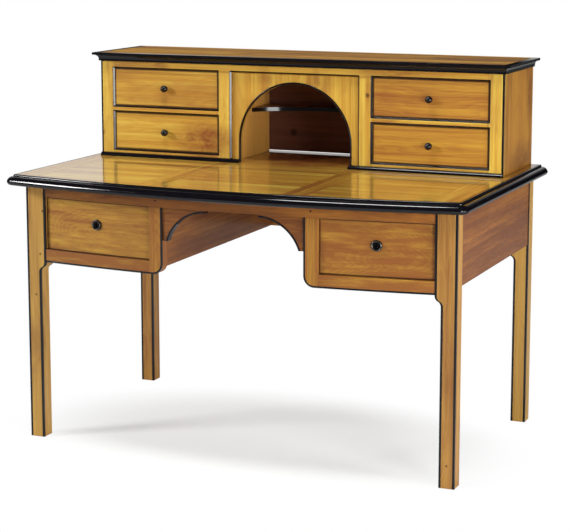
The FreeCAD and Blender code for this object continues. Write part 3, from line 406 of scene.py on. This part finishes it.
def heartwood_of(finish, figure, place, cloud, stains_and_shade):
    """Clouds of heartwood along the board, and the stains and painted shade at their places."""
    clouds = finish.noise(figure, CLOUDS, detail=4.0, roughness=0.6, swirl=0.6)
    heartwood_and_shade = finish.soft_spread(clouds, *CLOUD_EDGE, 0, cloud)
    if stains_and_shade:
        curl = finish.noise(place, CURL, detail=5.0, roughness=0.64, swirl=1.0)
        curl = finish.spread(curl, *CURL_NOISE, *CURL_STRENGTH)
    for middle, reach, strength in stains_and_shade:
        away = finish.arrow("DIVIDE", finish.arrow("SUBTRACT", place, middle), reach)
        distance = finish.arrow("LENGTH", away, output="Value")
        mark = finish.soft_spread(distance, *STAIN_FADE, strength, 0)
        heartwood_and_shade = finish.most(heartwood_and_shade, finish.times(mark, curl))
    return heartwood_and_shade


def distance_to_edge(finish):
    """How far a point lies from the nearest narrow edge of its board."""
    from_middle = finish.arrow("ABSOLUTE", finish.attribute("from_middle", "Vector"))
    inset = finish.arrow("SUBTRACT", finish.attribute("half_size", "Vector"), from_middle)
    across, deep, high = finish.split(inset)
    return finish.reckon("MINIMUM", finish.reckon("MINIMUM", across, deep), high)


def wood(name, tones, streaks, contrast, cloud, edges, polish, roughness, stains_and_shade=(), knots=(), shadow_gap=0.0):
    """Planed wood, with rings, streaks, clouds of heartwood, painted shade along its edges, stains, painted
    shade in given places, and knots.

    Its tones are light, middling, dark and heartwood. edges sets how dark the painted edge shade is; the
    last argument sets the painted shadow line round a drawer's front.
    """
    finish = Finish(name)
    figure = finish.attribute("figure", "Vector")
    place = finish.place()
    knots = [(finish.arrow("DISTANCE", place, middle, "Value"), size) for middle, size in knots]

    wander = finish.noise(figure, WANDER, detail=3.0)
    late_wood = late_wood_of(finish, figure, wander, knots)
    streak = finish.noise(figure, streaks, detail=4.0, roughness=0.62)
    grain = finish.noise(figure, GRAIN, detail=3.0, roughness=0.6)
    fibre = finish.noise(figure, FIBRE)
    share = finish.plus(finish.attribute("tone", "Fac"), COMMON_TONE)
    for part, weight in (
        (late_wood, RING_WEIGHT), (streak, STREAK_WEIGHT), (grain, GRAIN_WEIGHT),
        (fibre, FIBRE_WEIGHT), (wander, WANDER_WEIGHT),
    ):
        step = finish.times(finish.reckon("SUBTRACT", part, NOISE_MIDDLE), weight * contrast)
        share = finish.plus(share, step)
    light, middling, dark, heart = tones
    colour = finish.ramp(share, [(LIGHT_STOP, light), (MIDDLE_STOP, middling), (DARK_STOP, dark)])

    to_edge = distance_to_edge(finish)
    # Painted shade: each board is darker towards its narrow edges, unevenly
    uneven = finish.times(finish.noise(place, UNEVEN_EDGE, detail=3.0), EDGE_SWAY)
    edge_shade = finish.soft_spread(finish.plus(to_edge, uneven), *EDGE_SHADE_DEPTH, edges, 0)
    heartwood_and_shade = finish.most(heartwood_of(finish, figure, place, cloud, stains_and_shade), edge_shade)
    colour = finish.mix(heartwood_and_shade, colour, heart)
    fade_from, fade_to = KNOT_FADE
    for away, size in knots:
        knot = finish.soft_spread(away, fade_from * size, fade_to * size, KNOT_STRENGTH, 0)
        colour = finish.mix(knot, colour, KNOT_BROWN)
    # Painted shadow: a dark line along the edges of the front faces, where the gap round a drawer lies in
    # shade
    if shadow_gap:
        shadow_line = finish.spread(to_edge, *SHADOW_GAP_LINE, shadow_gap, 0)
        colour = finish.mix(finish.times(shadow_line, finish.attribute("front", "Fac")), colour, SHADOW_GAP_BROWN)

    finish.paint(colour, fibre, roughness, roughness + WOOD_ROUGHER)
    relief = finish.plus(fibre, finish.times(late_wood, RING_RELIEF))
    finish.bump(relief, PORE_DEPTH, PORE_STRENGTH)
    finish.gloss(WOOD_SHINE, polish)
    return finish.material


# Lacquer: its black and where it is rubbed brown, the wood's fibre under it, and how smooth it lies
LACQUER_BLACK, RUBBED_BROWN = srgb(15, 13, 17), srgb(34, 24, 20)
RUBBED_PATCHES, RUBBED_EDGE, LACQUERED_FIBRE = (38, 38, 38), (0.62, 0.8), (20, 480, 480)
LACQUER_SMOOTHEST, LACQUER_ROUGHEST, LACQUER_IOR = 0.08, 0.15, 1.45
# Metal: patches, where they turn bare, how much of the worn part is bare at least, and how rough it is
METAL_PATCHES, BARE_EDGE, WORN_BARE = (140, 140, 140), (0.35, 0.65), 0.5
METAL_ROUGHER, METALLIC = 0.2, 0.9
# How deep the fine relief of lacquer and metal is
FINE_RELIEF = 0.05 * MM


def lacquer(name):
    """Black lacquer over turned and moulded wood, rubbed a little brown in places."""
    finish = Finish(name)
    rubbed = finish.spread(finish.noise(finish.place(), RUBBED_PATCHES, detail=3.0), *RUBBED_EDGE)
    fibre = finish.noise(finish.attribute("figure", "Vector"), LACQUERED_FIBRE)
    colour = finish.mix(rubbed, LACQUER_BLACK, RUBBED_BROWN)
    finish.paint(colour, fibre, LACQUER_SMOOTHEST, LACQUER_ROUGHEST)
    finish.shader.inputs["IOR"].default_value = LACQUER_IOR
    finish.bump(fibre, FINE_RELIEF, strength=0.3)
    finish.gloss(specular=0.5, coat=0.0)
    return finish.material


def metal(name, dark, bright, roughness, grain, worn=None):
    """Cast or rolled metal, darkened in patches, bright where an attribute says that it is worn."""
    finish = Finish(name)
    place = finish.place()
    patch = finish.noise(place, METAL_PATCHES, detail=4.0, roughness=0.6)
    brushed = finish.noise(place, grain)
    bare = finish.spread(patch, *BARE_EDGE)
    if worn:
        worn_bare = finish.plus(finish.times(bare, 1 - WORN_BARE), WORN_BARE)
        bare = finish.times(finish.attribute(worn, "Fac"), worn_bare)
    finish.paint(finish.mix(bare, dark, bright), brushed, roughness, roughness + METAL_ROUGHER)
    finish.shader.inputs["Metallic"].default_value = METALLIC
    finish.bump(brushed, FINE_RELIEF, strength=0.5)
    return finish.material


# Cloudy stains of the cherry: middle, reach each way, strength
STAINS = (
    ((-0.425, 0.122, 1.036), (0.040, 0.05, 0.018), 0.75),
    ((-0.091, 0.132, 1.005), (0.034, 0.05, 0.060), 0.60),
    ((0.068, 0.132, 1.002), (0.022, 0.05, 0.060), 0.65),
    ((-0.285, 0.128, 0.818), (0.150, 0.05, 0.075), 1.0),
    ((0.282, 0.128, 0.968), (0.060, 0.05, 0.055), 0.40),
    ((0.229, 0.122, 0.985), (0.016, 0.05, 0.070), 0.55),
    ((-0.623, 0.122, 0.832), (0.014, 0.05, 0.018), 0.80),
    ((0.300, 0.122, 1.036), (0.170, 0.05, 0.024), 0.60),
    ((-0.290, -0.335, 0.620), (0.120, 0.06, 0.090), 0.45),
)
# Painted shade on the top inside the niche
PAINTED_NICHE_SHADE = (((0.0, 0.330, 0.760), (0.300, 0.400, 0.050), 1.15),)
# The right side of the upper unit, reddened at the back and along its foot
SIDE_STAINS = (
    ((0.626, 0.385, 0.970), (0.050, 0.050, 0.130), 0.60),
    ((0.626, 0.310, 0.780), (0.050, 0.200, 0.080), 0.70),
)
# Knots: middle, size
KNOTS = (
    ((-0.607, -0.3075, 0.415), 4 * MM),
    ((-0.591, -0.3075, 0.532), 4 * MM),
    ((-0.581, -0.3075, 0.655), 4 * MM),
    ((0.611, -0.3075, 0.061), 4 * MM),
    ((0.227, 0.1225, 0.972), 7 * MM),
    ((-0.116, 0.4035, 0.821), 13 * MM),
)

# Tones: light, middling, dark, heartwood
GOLDEN = (srgb(220, 190, 82), srgb(196, 147, 54), srgb(152, 94, 40), srgb(134, 74, 34))
AMBER = (srgb(208, 166, 82), srgb(186, 137, 66), srgb(148, 96, 46), srgb(122, 68, 38))
RUSSET = (srgb(190, 136, 52), srgb(162, 102, 40), srgb(122, 70, 32), srgb(100, 54, 28))
BROWNED = (srgb(192, 148, 50), srgb(156, 108, 34), srgb(116, 74, 24), srgb(98, 58, 22))
LIT_HONEY = (srgb(240, 182, 92), srgb(222, 160, 76), srgb(186, 122, 56), srgb(150, 88, 44))
STAINED = (srgb(126, 82, 66), srgb(102, 65, 53), srgb(78, 48, 40), srgb(62, 38, 33))
PALE = (srgb(226, 200, 150), srgb(208, 176, 122), srgb(176, 140, 88), srgb(160, 120, 76))
DARK = (srgb(84, 44, 24), srgb(62, 30, 16), srgb(44, 20, 12), srgb(36, 16, 10))

SATIN = {"polish": 0.2, "roughness": 0.36}
MATT = {"polish": 0.0, "roughness": 0.5}
GOLDEN_WOOD = {
    "tones": GOLDEN, "streaks": FINE, "contrast": 1.1, "cloud": 0.5, "edges": 0.45,
    "stains_and_shade": STAINS, "knots": KNOTS, **SATIN,
}
cherry = wood("golden_cherry", **GOLDEN_WOOD)
# The drawer fronts carry the painted shadow line round their edges
drawer_cherry = wood("drawer_cherry", **GOLDEN_WOOD, shadow_gap=0.9)
leg_cherry = wood("amber_cherry", AMBER, FINE, contrast=1.2, cloud=0.5, edges=0.3, knots=KNOTS, **SATIN)
red_cherry = wood(
    "red_cherry", RUSSET, MIDDLING, contrast=1.3, cloud=0.5, edges=0.4, stains_and_shade=SIDE_STAINS, **SATIN
)
stained_back = wood("stained_back", STAINED, FINE, contrast=1.0, cloud=0.3, edges=0.2, knots=KNOTS, **MATT)
# The niche partitions get a paler, redder cherry: partly painted light on their faces inside the niche
niche_cherry = wood(
    "niche_cherry", LIT_HONEY, FINE, contrast=1.2, cloud=0.4, edges=0.3, polish=0.1, roughness=0.4
)
polished = wood(
    "polished_cherry", BROWNED, BROAD, contrast=2.6, cloud=0.8, edges=0.3, polish=0.0, roughness=0.62
)
waxed_top = wood(
    "waxed_top", GOLDEN, BROAD, contrast=1.9, cloud=0.7, edges=0.4, polish=0.9, roughness=0.3,
    stains_and_shade=PAINTED_NICHE_SHADE,
)
lining = wood("pale_lining", PALE, FINE, contrast=1.0, cloud=0.2, edges=0.1, **MATT)
peg_wood = wood("dark_peg", DARK, FINE, contrast=1.0, cloud=0.3, edges=0.0, polish=0.2, roughness=0.4)
black_lacquer = lacquer("black_lacquer")
aged_pewter = metal(
    "aged_pewter", srgb(24, 22, 22), srgb(116, 112, 108), roughness=0.22, grain=(300, 300, 300), worn="rim"
)
lock_steel = metal(
    "lock_steel", srgb(150, 146, 140), srgb(196, 192, 186), roughness=0.28, grain=(60, 900, 900)
)


# The wooden pieces and the locks, each a finished copy of its CAD node

# How far the arrises are eased
BOARD_ARRIS, LINING_ARRIS, MOULDING_ARRIS, STEEL_ARRIS = 0.6 * MM, 0.4 * MM, 0.25 * MM, 0.2 * MM
# Black beads that are rounded over further, in more steps
ROUNDED = {"opening_beads": 1.3 * MM, "arch_bead": 1.8 * MM}

DESK_DRAWERS = ("desk_drawer_left", "desk_drawer_right")
SMALL_DRAWERS = ("upper_left_drawer", "upper_right_drawer", "lower_left_drawer", "lower_right_drawer")

# Each cherry node: its wood, which way its grain runs, its tone and how much its boards differ
CHERRY = {
    "leg_front_left": (leg_cherry, Z, -0.06, 0.02),
    "leg_front_right": (leg_cherry, Z, 0.12, 0.02),
    "leg_back_left": (leg_cherry, Z, 0.16, 0.02),
    "leg_back_right": (leg_cherry, Z, -0.08, 0.02),
    "side_aprons": (red_cherry, Y, 0.34, 0.02),
    "back_apron": (red_cherry, X, 0.04, 0.02),
    # Deeper tones on the desk's front under the top, its rails, stiles, spandrels and drawer fronts: partly
    # painted shade from the top's overhang
    "front_top_rail": (red_cherry, X, 0.24, 0.02),
    "bottom_rails": (cherry, X, 0.40, 0.03),
    "front_stiles": (cherry, Z, 0.40, 0.03),
    "caisson_sides": (red_cherry, Y, 0.26, 0.02),
    "spandrels": (red_cherry, X, 0.38, 0.02),
    "top_panels": (waxed_top, X, 0.02, 0.04),
    "top_bands": (waxed_top, Y, 0.18, 0.05),
    "unit_sides": (red_cherry, Z, -0.18, 0.02),
    "niche_partitions": (niche_cherry, Z, -0.30, 0.03),
    "unit_stiles": (cherry, Z, -0.12, 0.03),
    "unit_rails": (cherry, X, 0.04, 0.03),
    "arch_panel": (cherry, Z, -0.02, 0.02),
    "niche_shelf": (red_cherry, X, 0.1, 0.02),
    "unit_back": (stained_back, X, 0.0, 0.04),
    "unit_top": (polished, X, 0.12, 0.03),
    "upper_left_drawer_front": (drawer_cherry, X, -0.02, 0.01),
    "upper_right_drawer_front": (drawer_cherry, X, 0.26, 0.01),
    "lower_left_drawer_front": (drawer_cherry, X, -0.04, 0.01),
    "lower_right_drawer_front": (drawer_cherry, X, 0.24, 0.01),
    # Deeper tones here too, partly painted shade under the top's overhang
    "desk_drawer_left_front": (drawer_cherry, X, 0.20, 0.01),
    "desk_drawer_right_front": (drawer_cherry, X, 0.40, 0.01),
}
BLACK = (
    "leg_beads", "kneehole_beads", "spandrel_edges", "top_edge_front", "top_edge_sides", "opening_beads",
    "corner_beads", "arch_bead", "shelf_edge", "cornice", "base_mouldings",
)
LINING = ("drawer_runners", "drawer_kickers", "drawer_stops", "drawer_boards") + tuple(
    drawer + "_box" for drawer in DESK_DRAWERS + SMALL_DRAWERS
)


def finish_piece(piece, node, material):
    """Paints a piece, sets it on the body that carries its node and lets it stand for the node."""
    piece.data.materials.clear()
    piece.data.materials.append(material)
    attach(piece, body_of(frame["nodes"][node])[0])
    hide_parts(node)


for node, (timber, way, tone, differ) in CHERRY.items():
    board = planed(node, BOARD_ARRIS)
    lay_grain(board, way, tone, differ)
    finish_piece(board, node, timber)

for node in BLACK:
    steps = ROUNDED_STEPS if node in ROUNDED else EASED_STEPS
    moulding = planed(node, ROUNDED.get(node, MOULDING_ARRIS), steps)
    lay_grain(moulding)
    finish_piece(moulding, node, black_lacquer)

for node in LINING:
    boards = planed(node, LINING_ARRIS)
    lay_grain(boards, differ=0.08)
    finish_piece(boards, node, lining)

pegs = planed("rail_pegs", 0)
lay_grain(pegs, Y)
finish_piece(pegs, "rail_pegs", peg_wood)

for drawer in DESK_DRAWERS:
    for part in ("_lock", "_bolt"):
        fitting = planed(drawer + part, STEEL_ARRIS)
        finish_piece(fitting, drawer + part, lock_steel)


# Ball knobs of the small drawers, turned once and copied

KNOB_SIDES, BALL_BANDS = 48, 18
BALL_RADIUS, BALL_MIDDLE, BALL_END = 10.5 * MM, 14.5 * MM, math.radians(174)
NECK_RADIUS = 4.2 * MM
SPIGOT_RADIUS, SPIGOT_LENGTH = 4.5 * MM, 14 * MM
COLLAR_RADIUS, COLLAR_SEAT = 6.4 * MM, 0.02 * MM


def knob_profile():
    """Spigot, small collar, neck and ball, from the inside of the drawer front outwards."""
    profile = [
        (-SPIGOT_LENGTH, SPIGOT_RADIUS), (COLLAR_SEAT, SPIGOT_RADIUS), (COLLAR_SEAT, COLLAR_RADIUS),
        (1.0 * MM, COLLAR_RADIUS), (1.6 * MM, 6.0 * MM), (2.6 * MM, 4.6 * MM), (3.6 * MM, NECK_RADIUS),
    ]
    ball_start = math.asin(NECK_RADIUS / BALL_RADIUS)
    for band in range(BALL_BANDS + 1):
        angle = ball_start + (BALL_END - ball_start) * band / BALL_BANDS
        profile.append((BALL_MIDDLE - BALL_RADIUS * math.cos(angle), BALL_RADIUS * math.sin(angle)))
    return profile


knob_pattern = turned("knob_pattern", knob_profile(), KNOB_SIDES)
for drawer in SMALL_DRAWERS:
    low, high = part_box(drawer + "_knob")
    place = ((low[X] + high[X]) / 2, high[Y] - SPIGOT_LENGTH, (low[Z] + high[Z]) / 2)
    knob = copy_to(knob_pattern, drawer + "_knob_turned", place)
    lay_grain(knob, Y)
    finish_piece(knob, drawer + "_knob", black_lacquer)
bpy.data.objects.remove(knob_pattern)


# Round keyhole plates of the desk drawers: turned once, the keyhole cut through, then copied

PLATE_SIDES = 64
# Height and radius in millimetres: spigot, back, skirt, rolled rim and dish
PLATE_PROFILE = (
    (-8, 6), (0, 6), (0, 15), (1.5, 15), (3.0, 14.85), (4.4, 14.45), (5.5, 13.85), (6.2, 13.15), (6.5, 12.4),
    (6.3, 11.7), (5.6, 11.0), (4.7, 10.4), (4.15, 9.9), (4.0, 9.2), (4.0, 1),
)
KEY_SIDES, KEY_RADIUS = 28, 2.4 * MM
SLOT_WIDTH, SLOT_DROP = 2.4 * MM, 7.5 * MM
KEYHOLE_DEPTH = 24 * MM
# The rim is worn bright from this height, fully so after this rise
WORN_FROM, WORN_RISE = 4.2 * MM, 1.8 * MM


def keyhole_plate():
    """The plate with its keyhole, its rim marked as worn."""
    profile = [(height * MM, radius * MM) for height, radius in PLATE_PROFILE]
    plate = turned("plate_pattern", profile, PLATE_SIDES)
    bpy.ops.object.select_all(action="DESELECT")
    bpy.ops.mesh.primitive_cylinder_add(
        vertices=KEY_SIDES, radius=KEY_RADIUS, depth=KEYHOLE_DEPTH, location=(0, 0, 0)
    )
    key_round = bpy.context.active_object
    bpy.ops.object.select_all(action="DESELECT")
    bpy.ops.mesh.primitive_cube_add(
        size=1, location=(0, -SLOT_DROP / 2, 0), scale=(SLOT_WIDTH, SLOT_DROP, KEYHOLE_DEPTH)
    )
    key_slot = bpy.context.active_object
    for cutter in (key_round, key_slot):
        apply_modifier(plate, "BOOLEAN", object=cutter, operation="DIFFERENCE", solver="EXACT")
        bpy.data.objects.remove(cutter)
    true_faces(plate, ROUND_WORK)
    rim = plate.data.attributes.new("rim", "FLOAT", "POINT")
    for point, vertex in zip(rim.data, plate.data.vertices):
        point.value = min(1.0, max(0.0, (vertex.co.z - WORN_FROM) / WORN_RISE))
    return plate


# The bow of the drawer fronts: the Y of its middle, its radius, and how far they lie behind the frame
BOW_MIDDLE, DRAWER_BOW, DRAWER_INSET = 3402.5 * MM, 3744 * MM, 9 * MM
KEYHOLES = {"desk_drawer_left": -400.5 * MM, "desk_drawer_right": 418.5 * MM}
plate_pattern = keyhole_plate()
for drawer, across in KEYHOLES.items():
    low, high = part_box(drawer + "_escutcheon")
    back = BOW_MIDDLE - math.sqrt(DRAWER_BOW ** 2 - across ** 2)
    place = (across, back, (low[Z] + high[Z]) / 2)
    turn = math.asin(across / (DRAWER_BOW + DRAWER_INSET))
    plate = copy_to(plate_pattern, drawer + "_escutcheon_turned", place, turn)
    finish_piece(plate, drawer + "_escutcheon", aged_pewter)
bpy.data.objects.remove(plate_pattern)


# The studio: floor, light and camera

WHITE = (1, 1, 1, 1)
FLOOR_SIZE, FLOOR_GREY, FLOOR_GLOW = 60, (0.63, 0.645, 0.655, 1), 0.37
# A painted shadow under the desk, on top of the lamps' own: its middle, its reach each way, and the shares
# of that where it fades
SHADE_MIDDLE, SHADE_REACH, SHADE_FADE = (-0.02, -0.06, 0), (0.80, 0.52, 1), (0.45, 1.02)
# Light from all round, and the white wall that the gloss mirrors: its way, edges, foot and light
SOFT_LIGHT = 0.12
WALL_WAY, WALL_EDGE, WALL_FOOT, WALL_LIGHT = (-0.5, 0.86, 0.1), (0.75, 0.97), (0.09, 0.14), 0.78


def choose(nodes, links, share, first, second):
    """The second shader where the share is one, the first where it is nought."""
    choice = nodes.new("ShaderNodeMixShader")
    links.new(share, choice.inputs[0])
    links.new(first, choice.inputs[1])
    links.new(second, choice.inputs[2])
    return choice.outputs[0]


def mirror_rays(nodes, links, rays):
    """One for rays off gloss or through glass."""
    either = nodes.new("ShaderNodeMath")
    either.operation = "MAXIMUM"
    links.new(rays.outputs["Is Glossy Ray"], either.inputs[0])
    links.new(rays.outputs["Is Transmission Ray"], either.inputs[1])
    return either.outputs[0]


def pale_floor():
    """A white floor, darker within an ellipse under the desk as painted shadow on top of the lamps' shadow,
    that runs out into the white background.
    """
    bpy.ops.object.select_all(action="DESELECT")
    bpy.ops.mesh.primitive_plane_add(size=FLOOR_SIZE, location=(0, 0, 0))
    floor = bpy.context.active_object
    floor.name = "studio_floor"
    finish = Finish("studio_floor")
    nodes, links = finish.nodes, finish.links
    nodes.remove(finish.shader)
    from_shade = finish.arrow("SUBTRACT", finish.place(), SHADE_MIDDLE)
    away = finish.arrow("LENGTH", finish.arrow("DIVIDE", from_shade, SHADE_REACH), output="Value")
    # Painted shadow: inside this ellipse the floor shows only its lit grey and a weak glow, outside it is
    # plain white
    far = finish.soft_spread(away, *SHADE_FADE)
    matt = nodes.new("ShaderNodeBsdfDiffuse")
    matt.inputs["Color"].default_value = FLOOR_GREY
    glow = nodes.new("ShaderNodeEmission")
    glow.inputs["Strength"].default_value = FLOOR_GLOW
    white = nodes.new("ShaderNodeEmission")
    white.inputs["Strength"].default_value = 1.0
    shaded = nodes.new("ShaderNodeAddShader")
    links.new(matt.outputs[0], shaded.inputs[0])
    links.new(glow.outputs[0], shaded.inputs[1])
    rays = nodes.new("ShaderNodeLightPath")
    to_camera = choose(nodes, links, far, shaded.outputs[0], white.outputs[0])
    to_gloss = choose(nodes, links, far, shaded.outputs[0], matt.outputs[0])
    unseen = choose(nodes, links, mirror_rays(nodes, links, rays), matt.outputs[0], to_gloss)
    surface = choose(nodes, links, rays.outputs["Is Camera Ray"], unseen, to_camera)
    links.new(surface, nodes["Material Output"].inputs["Surface"])
    floor.data.materials.append(finish.material)


def studio_world():
    """White to the camera, a white wall behind to the left in the gloss, and soft light on the rest."""
    world = bpy.data.worlds.new("studio")
    bpy.context.scene.world = world
    world.use_nodes = True
    nodes, links = world.node_tree.nodes, world.node_tree.links
    soft = nodes["Background"]
    white = nodes.new("ShaderNodeBackground")
    wall = nodes.new("ShaderNodeBackground")
    for light in (soft, white, wall):
        light.inputs["Color"].default_value = WHITE
    soft.inputs["Strength"].default_value = SOFT_LIGHT
    white.inputs["Strength"].default_value = 1.0
    direction = nodes.new("ShaderNodeTexCoord").outputs["Generated"]
    toward_wall = nodes.new("ShaderNodeVectorMath")
    toward_wall.operation = "DOT_PRODUCT"
    links.new(direction, toward_wall.inputs[0])
    toward_wall.inputs[1].default_value = WALL_WAY
    height = nodes.new("ShaderNodeSeparateXYZ")
    links.new(direction, height.inputs[0])
    lit = wall.inputs["Strength"]
    for value, (low, high) in ((toward_wall.outputs["Value"], WALL_EDGE), (height.outputs[Z], WALL_FOOT)):
        share = nodes.new("ShaderNodeMapRange")
        share.interpolation_type = "SMOOTHSTEP"
        links.new(value, share.inputs["Value"])
        share.inputs["From Min"].default_value = low
        share.inputs["From Max"].default_value = high
        both = nodes.new("ShaderNodeMath")
        both.operation = "MULTIPLY"
        both.inputs[1].default_value = WALL_LIGHT
        links.new(share.outputs["Result"], both.inputs[0])
        links.new(both.outputs[0], lit)
        lit = both.inputs[1]
    rays = nodes.new("ShaderNodeLightPath")
    unseen = choose(nodes, links, mirror_rays(nodes, links, rays), soft.outputs[0], wall.outputs[0])
    seen = choose(nodes, links, rays.outputs["Is Camera Ray"], unseen, white.outputs[0])
    links.new(seen, nodes["World Output"].inputs["Surface"])


def softbox(name, place, aim, width, height, power, mirrored=True):
    """A lamp with a flat face, which the gloss may mirror or not."""
    lamp = bpy.data.lights.new(name, "AREA")
    lamp.shape = "RECTANGLE"
    lamp.size = width
    lamp.size_y = height
    lamp.energy = power
    holder = bpy.data.objects.new(name, lamp)
    bpy.context.scene.collection.objects.link(holder)
    holder.location = place
    holder.rotation_euler = (Vector(aim) - Vector(place)).to_track_quat("-Z", "Y").to_euler()
    holder.visible_camera = False
    holder.visible_glossy = mirrored


def photo_camera():
    """The camera at the photograph's place, tilted down and turned left by so many degrees."""
    tilt, turn = 8.841, 23.010
    lens = bpy.data.cameras.new("photo_camera")
    lens.sensor_fit = "HORIZONTAL"
    lens.sensor_width = 36
    lens.lens = 111.4
    lens.shift_y = -0.12
    camera = bpy.data.objects.new("photo_camera", lens)
    bpy.context.scene.collection.objects.link(camera)
    camera.location = (1.9544, -4.5364, 1.4530)
    camera.rotation_euler = (math.radians(90 - tilt), 0, math.radians(turn))
    bpy.context.scene.camera = camera


pale_floor()
studio_world()
softbox("window_left", (-4.0, -3.0, 2.85), aim=(0, -0.1, 0.75), width=1.1, height=1.1, power=174)
softbox("panel_right", (2.4, -1.9, 0.9), aim=(0.0, 0, 0.8), width=0.9, height=1.2, power=41)
softbox("strip_right", (2.9, -0.68, 0.62), aim=(-0.4, 0.12, 0.9), width=0.55, height=1.2, power=30)
softbox("overhead", (-0.15, -0.75, 3.2), aim=(-0.15, -0.36, 0.75), width=1.1, height=0.4, power=42)
softbox("behind", (1.4, 3.6, 2.9), aim=(0, 0.3, 0.6), width=1.6, height=1.2, power=48, mirrored=False)
photo_camera()
bpy.context.scene.view_settings.view_transform = "Standard"
